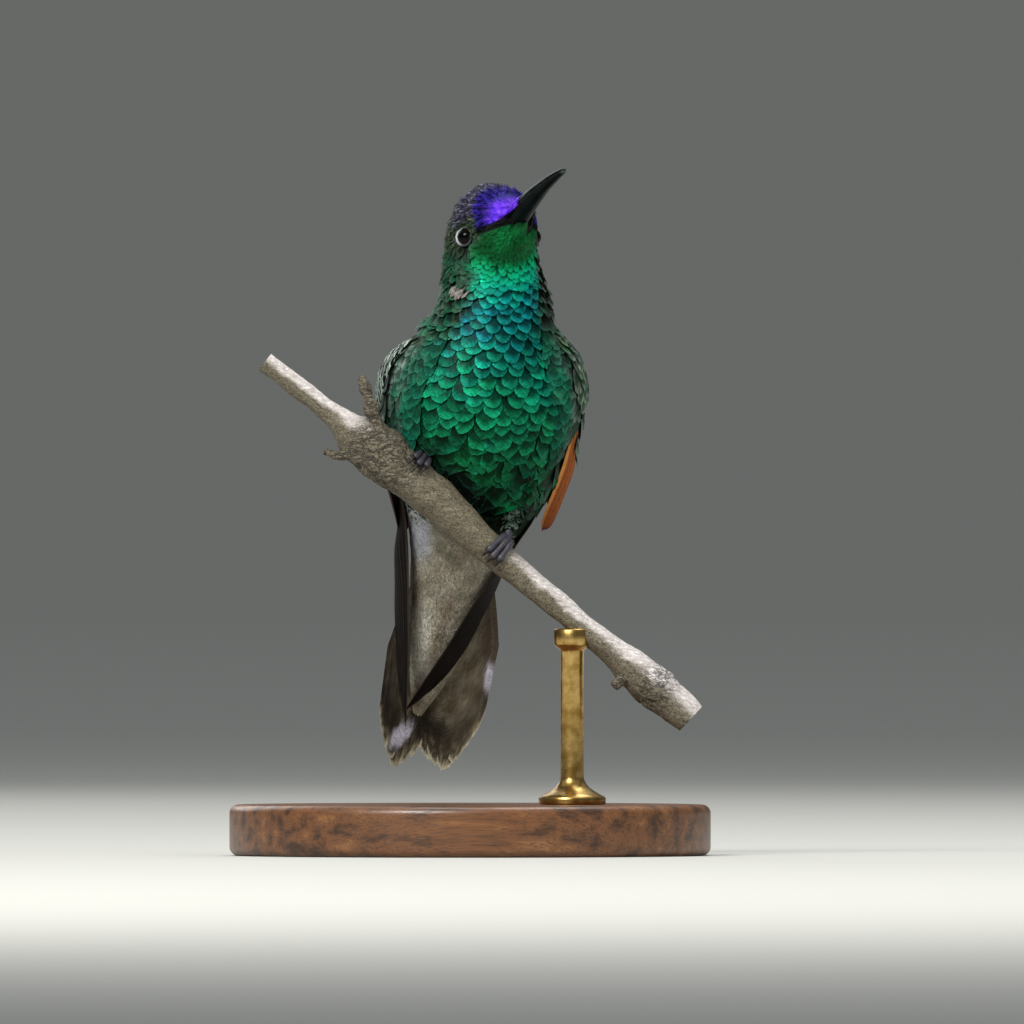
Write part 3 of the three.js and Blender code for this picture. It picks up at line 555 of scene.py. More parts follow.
def plumage(points, place, theta):
    """The bird's markings at points on its body, in linear colour.

    Violet forehead and dull indigo crown; black lores; dark green chin; a throat and breast
    that turn from emerald through turquoise to teal and green; grey-green sides, bronze-green
    back; grey-white vent and undertail coverts; a white spot behind each eye. Painted shade
    darkens the belly to near black close over the branch, and a painted highlight lays a green
    glint on it."""
    local = points - BILL_ROOT
    ahead, left, up = local @ head_front, local @ head_left, local @ head_up
    theta = theta + 0.16 * ease(place, 10.8, 12.6) * ease(place, 16.0, 14.6)  # the turned neck
    front = 1 - np.cos(theta)  # 0 on the back, 2 on the belly
    warp = lumps(points, 3.0, 21)
    grain = lumps(points, 1.2, 22)

    back = blend("33452f", "2c5038", ease(warp, -0.6, 0.6))
    stops = place + warp * 0.25
    bright = np.stack([np.interp(stops, GORGET_PLACES, channel) for channel in GORGET_COLOURS], -1)
    flank = blend("33503e", "135238", ease(warp + 0.5 * grain, -0.7, 0.6))
    reach = np.interp(place, [5, 8, 9.5, 11, 12.5, 13.5, 15], [0.75, 1.0, 1.25, 1.5, 1.5, 1.4, 1.1])
    colour = blend(back, flank, ease(front, 0.45, 0.95))
    colour = blend(colour, bright, ease(front + warp * 0.07, reach + 0.02, reach + 0.4))
    dusk = ease(left, 4.5, 6.0) * ease(place, 10.6, 11.6) * ease(front, 1.85, 1.45)
    colour = blend(colour, blend("24271f", "838272", ease(grain, -0.1, 0.9)), dusk * 0.75)

    head = ease(place, 13.2, 14.0)
    face = blend("20301f", "4b5546", ease(grain, -0.3, 1.0))
    edge = np.interp(place, [13.2, 14.6, 15.6, 16.6], [1.12, 1.15, 1.30, 1.42])  # where the green ends
    colour = blend(colour, face, head * ease(front + 0.08 * warp, edge + 0.14, edge - 0.14))
    chin = blend("065226", "0a6a34", ease(warp, -0.5, 0.7))
    colour = blend(colour, chin, ease(place, 14.5, 15.3) * ease(front, 1.35, 1.7))
    crown = blend("2b2938", "686779", ease(grain, -0.3, 0.9))
    cap = ease(up + 0.12 * warp, 0.9, 1.9) * ease(ahead + 0.5 * warp, -10.0, -7.5)
    colour = blend(colour, crown, cap * head)
    brow = ease(up, -1.1, -0.75) * ease(ahead + 0.25 * warp, -4.4, -3.3)
    navy = blend("110b48", "2c2188", ease(grain + 0.4 * warp, -0.6, 0.9))
    colour = blend(colour, navy, brow * ease(up + 0.3 * grain, 6.6, 4.2))
    violet = blend("4318c0", "8448f4", ease(grain, -0.6, 0.9))
    flash = ease(ahead + 0.2 * warp, -3.0, -1.3) * ease(left, 2.6, 1.4)
    flash = flash * ease(up + 0.3 * warp + 0.45 * grain, 3.5, 1.5)
    colour = blend(colour, violet, brow * flash)
    lore = ease(up - 0.11 * ahead, -0.16, -0.34) * ease(up, -1.5, -1.25) * ease(ahead, -4.6, -3.6)
    colour = blend(colour, "040506", lore)

    for side in (1, -1):
        spot = head_point(-EYE_BACK - 1.2, side * (EYE_SIDE + 1.1), -EYE_DROP + 0.2)
        near = np.linalg.norm(points - spot, axis=-1)
        colour = blend(colour, "cfd4d0", ease(near, 0.7, 0.4) * 0.9)
    # Painted shade: the breast and belly darken to near black close over the branch.
    above_perch = points @ [0.665, 0.0, 0.747] + 1.1  # how far a point is above the branch's middle
    colour = colour * (1 - 0.88 * ease(above_perch + 0.8 * warp, 8.2, 3.6) * ease(front, 1.2, 1.6))[..., None]
    # Painted highlight: a green glint on the lower belly.
    glint = np.linalg.norm((points - [5.1, 0.6, 1.2]) * [1.0, 0.3, 0.8], axis=-1)
    colour = blend(colour, "0a7040", ease(glint + 0.5 * grain, 2.0, 0.6) * 0.8)
    pale = blend("77726a", "9a958b", ease(lumps(points, 2.2, 12), -0.6, 0.6))
    vent = ease(place + warp * 0.15, 5.6, 5.1) * ease(front, 0.9, 1.15)
    return blend(colour, pale, vent)


def body_bake(place, theta):
    """The bake map's place: the skin unrolled, round it along U and along it up V."""
    return np.stack([0.02 + 0.96 * (theta / (2 * np.pi) % 1), 0.02 + 0.96 * place / BILL_END], -1)


BEYOND = 4  # steps of a net that a reading may go past its edges


class Net:
    """A smooth surface kept as a net of points, read between them in straight lines.

    a runs along its rows and b across them, where it may close into a ring. Feathers grow
    towards falling a. Its pace is the mm in one unit of a, the mm in one unit of b square to
    that, and how far one unit of b leans down."""

    def __init__(self, points, a_span, b_span, closed):
        rows, cols = points.shape[:2]
        self.points, self.closed, self.a_span, self.b_span = points, closed, a_span, b_span
        self.a_step = (a_span[1] - a_span[0]) / (rows - 1)
        self.b_step = (b_span[1] - b_span[0]) / (cols - (not closed))
        along = np.gradient(points, axis=0) / self.a_step
        if closed:
            around = (np.roll(points, -1, axis=1) - np.roll(points, 1, axis=1)) / (2 * self.b_step)
        else:
            around = np.gradient(points, axis=1) / self.b_step
        self.normal = unit(np.cross(along, around) + 1e-9)
        down = -unit(along + 1e-9)
        lean = np.sum(around * down, -1)
        square = np.linalg.norm(around - down * lean[..., None], axis=-1).clip(0.5)
        self.pace = np.stack([np.linalg.norm(along, axis=-1).clip(0.5), square, lean], -1)

    def read(self, field, a, b):
        """A field of the net at a and b: the four nearest values, each by its nearness."""
        rows, cols = field.shape[:2]
        y, x = (a - self.a_span[0]) / self.a_step, (b - self.b_span[0]) / self.b_step
        y = np.clip(y, -BEYOND, rows - 1 + BEYOND)
        i = np.clip(np.floor(y).astype(int), 0, rows - 2)
        x = x % cols if self.closed else np.clip(x, -BEYOND, cols - 1 + BEYOND)
        j = np.floor(x).astype(int)
        j = j % cols if self.closed else np.clip(j, 0, cols - 2)
        k = (j + 1) % cols
        f, g = (y - i)[..., None], (x - j)[..., None]
        near = field[i, j] * (1 - g) + field[i, k] * g
        return near * (1 - f) + (field[i + 1, j] * (1 - g) + field[i + 1, k] * g) * f

    def at(self, a, b, out):
        """Points at a and b, out mm off the surface."""
        return self.read(self.points, a, b) + unit(self.read(self.normal, a, b)) * np.asarray(out)[..., None]

    def walk(self, a, b, down, side, pace=None):
        """Where a walk of down mm towards falling a and side mm across leads."""
        pace = self.read(self.pace, a, b) if pace is None else pace
        turn = side / pace[..., 1]
        return a - (down - turn * pace[..., 2]) / pace[..., 0], b + turn


def eased_body():
    """The net of the coat: the body's sections, a mean of near sections over the throat."""
    place, theta = sheet(np.linspace(TIP, BILL_END, 361), circle(180))
    net = body_point(place, theta, 0 * place)
    mean = net.copy()
    for _ in range(700):
        mean[1:-1] = (mean[:-2] + 2 * mean[1:-1] + mean[2:]) / 4
    throat = np.exp(-(((place - 14.1) / 1.6) ** 2)) * ease(np.cos(theta), 0.75, -0.35)
    net = net + (mean - net) * throat[..., None]
    normal = Net(net, (TIP, BILL_END), (0, 2 * np.pi), True).normal
    for side in (1, -1):
        hollow = head_point(-5.3, side * 5.3, -0.5)
        near = np.linalg.norm(net - hollow, axis=-1)
        net = net - normal * (0.5 * np.exp(-((near / 1.5) ** 2)))[..., None]
    return Net(net, (TIP, BILL_END), (0, 2 * np.pi), True)


coat = eased_body()


def skin_shape():
    """The body's sections drawn in by the coat's depth, closed at both ends."""
    place, theta = sheet(np.linspace(0.25, BILL_END - 0.05, 170), circle(96))
    rings = coat.at(place, theta, -coat_depth(place))
    shape = tube(rings + GRIP)
    places = np.concatenate([place.ravel(), [0.25, BILL_END]])
    thetas = np.concatenate([theta.ravel(), [np.pi, np.pi]])
    shape["tint"] = plumage(shape["points"] - GRIP, places, thetas) * 0.55
    shape["bake"] = body_bake(places, thetas)
    shape["fibre"] = np.stack([thetas * 8, places * 3], -1)
    return shape


LEGS = {  # where each foot holds the branch, its toes' spread and reach, and its hip
    "left": {"row": 8.85, "spread": 1.15, "reach": 142, "hip": [6.8, 7.4, 5.0]},
    "right": {"row": 6.05, "spread": 1.1, "reach": 82, "hip": [-5.2, 8.0, 12.8]},
}
ANKLE_ANGLE, HALLUX_ANGLE, SHANK = -38, -128, 3.2


def leg_line(side):
    """A leg's ankle beside the branch, and the way and distance from it up to the hip."""
    row = np.array(LEGS[side]["row"])
    ankle = beside_branch(row, np.array(ANKLE_ANGLE), branch_frame(row)[3] + 0.95)
    rise = np.array(LEGS[side]["hip"]) - ankle
    return ankle, unit(rise), np.linalg.norm(rise)


def leg_point(side, above, radius, turn):
    """A point round a leg, from its distance above the ankle, a radius and a turn about the leg.

    Also gives the way out to it, square to the leg."""
    ankle, way, _ = leg_line(side)
    across = unit(np.cross(way, [0, 1, 0]))
    spoke = spokes(across, np.cross(way, across), turn)
    return ankle + way * above[..., None] + spoke * radius[..., None], spoke


def thigh_shape(side):
    """The feathered thigh: a cone from the bare shank up into the belly."""
    length = leg_line(side)[2]
    above, turn = sheet(np.linspace(SHANK + 0.3, length, 24), circle(24))
    radius = np.interp(above, [SHANK, (SHANK + length) / 2, length], [0.75, 1.5, 1.8])
    shape = tube(leg_point(side, above, radius, turn)[0] + GRIP)
    count = len(shape["points"])
    shape["tint"] = np.tile(linear("56705a"), (count, 1))
    shape["bake"] = np.tile(body_bake(6.0, 3.0 if side == "left" else 3.4), (count, 1))
    shape["bake"] = shape["bake"] + 0.003 * np.random.default_rng(1).random((count, 2))
    shape["fibre"] = shape["points"][:, [0, 2]]
    return shape


def feather_finish(name, metallic, rough, gloss=0.0, barb=0.22, fleck=0.22, shine=0.35):
    """Feather: its own markings, fine barbs that slant from the shaft, and a silky sheen.

    fleck is how far the streaks along the barbs lighten and darken the markings."""
    feather = Finish(name)
    tint = feather.markings()
    fibre = feather.node("UVMap", {"uv_map": "Fibre"})
    across = feather.node("SeparateXYZ", output=0, Vector=fibre)
    along = feather.node("SeparateXYZ", output=1, Vector=fibre)
    slant = along - abs(across) * 0.9
    at = feather.node("CombineXYZ", X=slant * (0.314 / barb))
    sine = {"wave_profile": "SIN"}
    ridge = feather.node("TexWave", sine, Vector=at, Scale=1.0, Distortion=1.2, Detail=1.0)
    depth = feather.node("SeparateXYZ", output=2, Vector=feather.place())
    at = feather.node("CombineXYZ", X=slant * 3.2, Y=across * 1.1, Z=depth * 0.6)
    streak = feather.noise(at, 1.0, 2.0)
    mottle = feather.noise(feather.place(), 1.6, 3.0)
    shade = feather.node("MapRange", Value=ridge, To_Min=0.82, To_Max=1.08)
    ends = {"From_Min": 0.3, "From_Max": 0.7, "To_Min": 1 - fleck, "To_Max": 1 + fleck}
    light = feather.node("MapRange", Value=streak, **ends)
    return feather.surface(
        Base_Color=feather.mix(1.0, tint, shade * light, blend="MULTIPLY"),
        Metallic=metallic,
        Roughness=rough + mottle * 0.16,
        Specular_IOR_Level=shine,
        Coat_Weight=gloss,
        Coat_Roughness=0.3,
        Normal=feather.bump(ridge * 0.6 + streak, 0.05, 0.6),
    )


FLESH = ["tail_coverts", "trunk", "neck", "head", "thigh_left", "thigh_right"]
shapes = [skin_shape(), thigh_shape("left"), thigh_shape("right")]
add_piece("skin", shapes, feather_finish("down_and_skin", 0.0, 0.6), "breast_feathers", *FLESH)

# ---- Head, neck and body feathers ---------------------------------------------------------
# Small overlapping body feathers, each a thin cupped vane with a rounded end. They grow in
# staggered rows from the bill back over the head and down to the tail, and lie on the skin.


def vane_faces(rows, cols):
    """Faces of one closed vane: an outer grid and an inner one that share their rim."""
    outer = np.arange(rows * cols).reshape(rows, cols)
    inner = outer.copy()
    inner[1:-1, 1:-1] = rows * cols + np.arange((rows - 2) * (cols - 2)).reshape(rows - 2, -1)
    grids = [np.stack([g[:-1, :-1], g[:-1, 1:], g[1:, 1:], g[1:, :-1]], -1) for g in (outer, inner)]
    return np.concatenate([grids[0].reshape(-1, 4), grids[1].reshape(-1, 4)[:, ::-1]])


def vane_rim(rows, cols):
    """Which points of a closed vane lie on its rim, in the order of its two grids."""
    rim = np.ones((rows, cols), bool)
    rim[1:-1, 1:-1] = False
    return np.append(rim.ravel(), np.zeros((rows - 2) * (cols - 2), bool))


def both_sides(outer, inner):
    """The points of closed vanes: each one's outer grid, and its inner one without the rim."""
    count = len(outer)
    return np.concatenate([outer.reshape(count, -1), inner[:, 1:-1, 1:-1].reshape(count, -1)], 1)


VANE_THICK = 0.03


def lay_vanes(net, bake, roots, length, width, rise, lie=0.0, cup=0.12, arc=0.55, narrow=0.45,
              ragged=0.0, droop=0.0, rows=6, cols=7, seed=0):
    """Closed vanes laid on a net, each growing from its root (a, b) towards falling a.

    Along a vane y runs from 0 to its length, and across it x spans its width, narrower at the
    root. Its end is part of an ellipse (arc). It climbs from rise[0] to rise[1] above the
    surface, sinks to its edges by cup, and its tip bends in by droop. lie turns it in its plane.
    Returns the shape, with each point's own a and b, and its s along and t across the vane."""
    rng = np.random.default_rng(seed)
    count = len(roots)
    length, width, lie, low, high, cup, ragged, arc = (
        np.broadcast_to(np.asarray(v, float), count).reshape(-1, 1, 1)
        for v in (length, width, lie, *rise, cup, ragged, arc)
    )
    s = (np.linspace(0, 1, rows) ** 0.8)[None, :, None]
    spine = [(roots[:, :1], roots[:, 1:])]  # the shaft's own line, walked in small steps
    for step in np.repeat(np.diff(s[0, :, 0]) / 2, 2):
        down = length[:, 0] * step * np.cos(lie[:, 0])
        spine.append(net.walk(*spine[-1], down, length[:, 0] * step * np.sin(lie[:, 0])))
    a, b = (np.stack([at[k] for at in spine[::2]], 1) for k in (0, 1))
    t = np.sin(np.linspace(-1, 1, cols) * np.pi / 2 * 0.97)[None, None, :]
    end = 1 - arc * (width / length) * (1 - np.sqrt(1 - (t * 0.98) ** 2))
    tear = 1 - ragged * rng.random((count, rows, cols)) * s**3
    waist = narrow + (1 - narrow) * np.sin(np.clip(s / 0.6, 0, 1) * np.pi / 2)
    x = width / 2 * t * waist
    y = length * s * end * tear
    short = y - length * s
    pace = net.read(net.pace, a, b)
    down, side = short * np.cos(lie) - x * np.sin(lie), x * np.cos(lie) + short * np.sin(lie)
    at_a, at_b = net.walk(a, b, down, side, pace)
    out = np.broadcast_to(low + (high - low) * s - cup * width * t**2 * s - droop * s**5, at_a.shape)
    s, t = np.broadcast_to(s, at_a.shape), np.broadcast_to(t, at_a.shape)
    outer = {"a": at_a, "b": at_b, "s": s, "t": t, "x": x, "y": y}
    values = {key: both_sides(value, value) for key, value in outer.items()}
    height = both_sides(out, out - VANE_THICK)
    points = net.at(values["a"], values["b"], height) + GRIP
    index = (vane_faces(rows, cols)[None] + points.shape[1] * np.arange(count)[:, None, None]).reshape(-1, 4)
    flat = points.reshape(-1, 3)
    patch = np.stack([values["t"], values["s"] * 2 - 1], -1) * 0.0015
    shape = {"points": flat, "faces": outward(flat, [index])}
    shape["bake"] = (bake(roots[:, 0], roots[:, 1])[:, None] + patch).reshape(-1, 2)
    shape["fibre"] = np.stack([values["x"], values["y"]], -1).reshape(-1, 2)
    shape["rim"] = np.tile(vane_rim(rows, cols), count)
    return shape, values


def root_rows(net, first, last, gap, width, seed, stray=0.25):
    """Roots in rows gap(a, b) mm apart down the net, and width(a, b) mm apart in a row.

    Along a row the distance walked from a = first, counted in gaps, is one whole number. Every
    other row is turned by half a step, and each root strays by up to stray of a step."""
    rng = np.random.default_rng(seed)
    a, b = sheet(np.linspace(first, last, 300), np.linspace(*net.b_span, 121))
    steps = net.read(net.pace, a, b)[..., 0] * (first - last) / 299 / gap(a, b)
    walked = np.cumsum(steps, axis=0) - steps
    roots = []
    for row in range(int(walked.max()) + 1):
        line = np.array([np.interp(row, walked[:, k], a[:, k]) for k in range(b.shape[1])])
        spots = net.read(net.points, line, b[0])
        stride = np.linalg.norm(np.diff(spots, axis=0), axis=-1) / width(line, b[0])[1:]
        across = np.append(0, np.cumsum(stride))
        count = max(round(across[-1]), 2)
        at = np.arange(count) + 0.5 * (row % 2) + rng.uniform(-0.5, 0.5, count) * stray
        at = at / count % 1 * across[-1]
        spot_a, spot_b = np.interp(at, across, line), np.interp(at, across, b[0])
        kept = np.interp(at, across, walked[-1]) >= row
        shift = rng.uniform(-0.5, 0.5, count) * stray * gap(spot_a, spot_b)
        shift = shift / net.read(net.pace, spot_a, spot_b)[:, 0]
        roots.append(np.stack([spot_a + shift, spot_b], -1)[kept])
    return np.concatenate(roots)


def dress(name, laid, finish, slot, painted_shade=0.0, jitter=0.1, rim=0.0, painted_rim_light=0.0, hue=0.08,
          seed=0, colour=None):
    """Paints vanes with the markings and adds them as one piece.

    Each vane has its own lightness. It is darker by painted_shade where the next row's edge lies
    over it, a painted shade, and its end has a dark rim, or a painted highlight by painted_rim_light."""
    shape, values = laid
    rng = np.random.default_rng(seed)
    count, each = values["a"].shape
    spot = shape["points"].reshape(count, each, 3) - GRIP
    tint = plumage(spot, values["a"], values["b"]) if colour is None else colour(spot, values)
    light = rng.normal(1.0, jitter, (count, 1)).clip(0.5, 1.7)
    edge = np.maximum(ease(np.abs(values["t"]), 0.8, 1.0) * 0.5, ease(values["s"], 0.88, 1.0))
    # painted_shade darkens each vane where the next row's edge lies over it: painted shade.
    shade = light * (1 - np.reshape(painted_shade, (-1, 1)) * ease(values["s"], 0.88, 0.62)) * (1 - rim * edge)
    tint = tint * shade[..., None] * (1 + rng.normal(0, hue, (count, 1, 3)))
    # Painted highlight: a light green rim along each vane's end.
    tint = tint + (edge * painted_rim_light)[..., None] * (np.array([0.01, 0.06, 0.045]) + tint * 0.8)
    shape["tint"] = tint.reshape(-1, 3).clip(0, 1)
    add_piece(name, [shape], finish, slot)


def take(laid, kept):
    """Only the vanes that kept marks."""
    shape, values = laid
    count = len(kept)
    each = len(shape["points"]) // count
    faces = [face.reshape(count, -1, face.shape[1])[kept] for face in shape["faces"]]
    left = int(kept.sum())
    shift = (np.arange(left) - np.flatnonzero(kept))[:, None, None] * each
    part = {
        key: shape[key].reshape(count, each, -1)[kept].reshape(left * each, -1)
        for key in ("points", "bake", "fibre")
    }
    part["rim"] = shape["rim"].reshape(count, each)[kept].ravel()
    part["faces"] = [(face + shift).reshape(-1, face.shape[-1]) for face in faces]
    return part, {k: v[kept] for k, v in values.items()}


iridescent = feather_finish("iridescent_feather", 0.45, 0.42, gloss=0.02, barb=0.3, fleck=0.5, shine=0.08)
velvet = feather_finish("velvet_feather", 0.3, 0.45, gloss=0.02, barb=0.2, shine=0.1)
silky = feather_finish("silky_feather", 0.15, 0.6, barb=0.3, fleck=0.4, shine=0.1)
soft = feather_finish("soft_feather", 0.0, 0.7, barb=0.25, shine=0.08)
downy = feather_finish("downy_feather", 0.0, 0.75, barb=0.2, fleck=0.45, shine=0.05)


def facing(theta):
    """1 on the breast, 0 on the sides and the back."""
    return ease(-np.cos(theta), 0.0, 0.6)


def graded(places, sizes, aside=1.0):
    """A spacing in mm by place along a net, and aside times that away from the breast."""

    def spacing(place, theta):
        """The size at each place, in straight lines between the sizes given."""
        return np.interp(place, places, sizes) * (aside + (1 - aside) * facing(theta))

    return spacing


OPENING = 1.24  # no feather comes nearer to the middle of an eye's opening


def clear_of_eyes(laid, gap):
    """Which vanes stay further than gap mm from the middles of both eyes' openings."""
    points, count = laid[0]["points"] - GRIP, len(laid[1]["a"])
    kept = np.ones(count, bool)
    for side in (1, -1):
        kept &= np.linalg.norm(points - eye_opening(side), axis=-1).reshape(count, -1).min(axis=1) > gap
    return kept


# The head: tiny scales from the bill's root, growing to the size of the nape's.
head_gap = graded([13.4, 14.5, 16, 17.5], [0.86, 0.66, 0.42, 0.27])
head_width = graded([13.4, 14.5, 16, 17.5], [1.15, 0.86, 0.56, 0.38])
roots = root_rows(coat, 17.8, 13.4, head_gap, head_width, 11, 0.6)
rng = np.random.default_rng(31)
count = len(roots)
throat = facing(roots[:, 1]) * ease(roots[:, 0], 15.6, 14.2)
smooth = np.maximum(facing(roots[:, 1]), ease(roots[:, 0], 15.4, 16.4))  # the chin and forehead lie flat
laid = lay_vanes(
    coat, body_bake, roots, head_gap(*roots.T) * (3.2 + 0.3 * rng.uniform(-1, 1, count)),
    head_width(*roots.T) * (1.25 + 0.25 * throat),
    (-coat_depth(roots[:, 0]) * 0.9, 0.02 + rng.uniform(-0.05, 0.22, count) * (1 - 0.85 * smooth)),
    lie=rng.normal(0, 0.24, count) * (1 - 0.75 * smooth), cup=0.10, arc=0.75, ragged=0.3 * (1 - smooth),
    rows=5, cols=5, seed=31,
)
kept = clear_of_eyes(laid, OPENING)
painted_shade = np.where(throat > 0.5, 0.75, 0.5 - 0.3 * smooth)[kept]
dress("head_feathers", take(laid, kept), velvet, "violet_feathers", painted_shade=painted_shade, jitter=0.12, rim=0.15,
      hue=0.05, seed=1)

# Fine loose barbs stand off the crown, cheeks and nape.
rng = np.random.default_rng(70)
count = 1500
roots = np.stack([rng.uniform(12.6, 16.6, count), rng.uniform(-0.56, 0.38, count) * np.pi], -1)
laid = lay_vanes(
    coat, body_bake, roots, rng.uniform(0.8, 1.5, count), rng.uniform(0.10, 0.2, count),
    (-0.1, rng.uniform(0.12, 0.5, count)), lie=rng.normal(0, 0.3, count), cup=0.1, arc=1.0, narrow=0.9,
    rows=4, cols=3, seed=71,
)
dress("head_fuzz", take(laid, clear_of_eyes(laid, OPENING - 0.1)), soft, "violet_feathers", jitter=0.35,
      hue=0.03, seed=6)

# A small tuft of pinkish grey barbs shows on the side of the neck.
rng = np.random.default_rng(75)
count = 46
roots = np.stack([12.56 + rng.normal(0, 0.09, count), np.radians(236) + rng.normal(0, 0.10, count)], -1)
laid = lay_vanes(
    coat, body_bake, roots, rng.uniform(0.8, 1.3, count), rng.uniform(0.2, 0.34, count),
    (0.0, rng.uniform(0.12, 0.3, count)), lie=rng.normal(0.35, 0.16, count), arc=1.0, narrow=0.7,
    rows=4, cols=3, seed=76,
)


def tuft_colour(spot, values):
    """Pinkish grey, duller at the root."""
    return blend("4c5450", "968e8a", ease(values["s"] + 0.5 * lumps(spot, 0.7, 77), 0.1, 1.0))


dress("neck_tuft", laid, soft, "throat_feathers", jitter=0.12, hue=0.02, colour=tuft_colour)

# Throat, breast, belly and back: scales that grow with the body, small and plain on its sides.
body_gap = graded([5, 7, 9.5, 11, 12.5, 14], [1.5, 1.5, 1.35, 1.2, 1.0, 0.8], aside=0.72)
body_width = graded([5, 7, 9.5, 11, 12.5, 14], [2.6, 2.6, 2.5, 2.35, 2.05, 1.55], aside=0.64)
roots = root_rows(coat, 14.1, 2.2, body_gap, body_width, 12, 0.3)
roots = roots[(roots[:, 0] > 5.9) | (np.cos(roots[:, 1]) > 0.1)]  # below the vent, only over the rump
turn = np.degrees(np.arccos(np.cos(roots[:, 1])))  # degrees from the back
covered = (turn >= 58) & (turn <= 124) & (roots[:, 0] >= 7.5) & (roots[:, 0] <= 10.9)  # by the wings
roots = roots[~covered]
rng = np.random.default_rng(6)
count = len(roots)
breast = facing(roots[:, 1])
loose = np.maximum(ease(roots[:, 0], 9.9, 7.8), 0.5 * (1 - breast))
bunched = loose * ease(roots[:, 0], 5.6, 6.6)
spots = coat.at(*roots.T, 0.0)
clump, swirl = lumps(spots, 5.0, 51), lumps(spots, 6.0, 52)  # belly feathers part and bunch together
ruff = np.exp(-(((roots[:, 1] - 1.62) / 0.5) ** 2) - (roots[:, 0] - 12.5) ** 2)
ruff = ruff * np.random.default_rng(61).uniform(0.5, 1.0, count)  # the turned neck's outer side
long = 3.1 + 0.5 * loose + 0.9 * ruff
laid = lay_vanes(
    coat, body_bake, roots,
    body_gap(*roots.T) * long * (1 + rng.uniform(-0.08, 0.1, count) * (1 + 1.5 * loose)),
    body_width(*roots.T) * (1.15 + 0.15 * loose) * (1 + rng.uniform(-0.1, 0.1, count) * (1 + 2 * loose)),
    (np.interp(roots[:, 0], [2.2, 5.0], [-0.35, -0.95]),
     0.10 + rng.uniform(-0.08, 0.07, count) + 0.12 * rng.random(count) * loose + 0.25 * clump * bunched
     + 0.8 * ruff),
    lie=rng.normal(0, 0.05 + 0.15 * loose) + 0.35 * swirl * bunched, cup=0.09 + 0.05 * breast,
    arc=0.55 + 0.15 * loose, narrow=0.5,
    ragged=0.06 + 0.22 * loose, droop=0.12, seed=32,
)
gorget = roots[:, 0] > 10.9
ventral = np.cos(roots[:, 1]) < 0.1
dress("throat_feathers", take(laid, gorget), iridescent, "throat_feathers",
      painted_shade=0.8, jitter=0.17, painted_rim_light=0.3, seed=2)
dress("breast_feathers", take(laid, ~gorget & ventral), iridescent, "breast_feathers",
      painted_shade=0.8, jitter=0.26, painted_rim_light=0.3, seed=3)
dress("back_feathers", take(laid, ~gorget & ~ventral), iridescent, "mantle_feathers",
      painted_shade=0.5, jitter=0.16, rim=0.1, seed=4)

# ---- Wing plates --------------------------------------------------------------------------
# Each folded wing is a curved plate: coverts over its shoulder, then two sets of blades.
# They are laid out here, because the flanks' feathers reach out over their front edges.

WING_EDGES = {  # along the front edge: x, y, z, chord, heading at the edge, heading at the far side
    ("left", "coverts"): [
        [9.6, 0.9, 27.4, 7.0, 25, -75], [11.6, 0.3, 24.9, 11.0, 26, -74], [13.7, -0.4, 21.8, 14.5, 28, -72],
        [14.6, 0.7, 18.0, 16.5, 24, -72], [14.1, 2.8, 13.6, 16.0, 24, -70], [12.9, 4.6, 10.2, 14.5, 28, -66],
    ],
    ("left", "secondaries"): [
        [13.5, 4.9, 12.4, 12.5, 29, -69], [12.8, 6.3, 9.8, 11.5, 34, -66], [12.0, 7.5, 7.0, 11.5, 42, -60],
        [10.6, 8.6, 3.4, 10.0, 46, -52], [9.5, 9.3, 0.4, 6.5, 48, -25], [9.4, 10.1, -1.2, 1.2, 46, 20],
    ],
    ("left", "primaries"): [
        [12.2, 5.6, 9.7, 10.5, 2, -76], [11.0, 6.9, 4.8, 9.8, -4, -66], [9.1, 7.7, 0.0, 8.6, 0, -46],
        [6.3, 8.1, -4.0, 7.0, 12, -16], [3.1, 8.5, -8.4, 5.2, 30, 8], [0.1, 9.2, -12.6, 4.2, 46, 32],
        [-2.9, 10.4, -17.4, 4.0, 56, 46], [-6.2, 12.1, -22.3, 3.6, 58, 52], [-9.2, 13.8, -27.0, 0.9, 60, 56],
    ],
    ("right", "coverts"): [
        [-6.3, 1.6, 25.0, 9.5, 22, -75], [-10.0, 1.2, 21.8, 14.5, 24, -74], [-11.4, 2.0, 18.0, 16.5, 20, -74],
        [-11.7, 3.8, 13.6, 16.0, 18, -72], [-11.5, 5.3, 10.2, 14.5, 18, -68],
    ],
    ("right", "secondaries"): [
        [-11.8, 5.8, 12.4, 13.0, 18, -71], [-11.8, 7.0, 9.8, 11.5, 18, -70], [-11.2, 7.8, 7.0, 11.5, 18, -68],
        [-10.2, 8.6, 3.4, 10.0, 14, -64], [-9.5, 9.4, 0.4, 6.5, 10, -50], [-9.2, 10.6, -1.2, 1.2, 8, -20],
    ],
    ("right", "primaries"): [
        [-11.1, 6.1, 9.7, 11.5, 12, -66], [-10.0, 7.2, 4.8, 10.5, 22, -60], [-9.1, 7.9, 0.0, 9.0, 38, -46],
        [-8.7, 8.2, -4.0, 7.4, 54, -24], [-8.6, 8.3, -8.4, 5.0, 58, 2], [-8.6, 8.7, -12.6, 4.0, 60, 16],
        [-8.6, 9.6, -17.4, 3.3, 58, 26], [-8.8, 10.9, -22.8, 2.6, 46, 34], [-9.1, 12.4, -28.2, 0.9, 44, 40],
    ],
}
WING_LAYER = {"coverts": 0.1, "secondaries": 0.55, "primaries": -0.5}


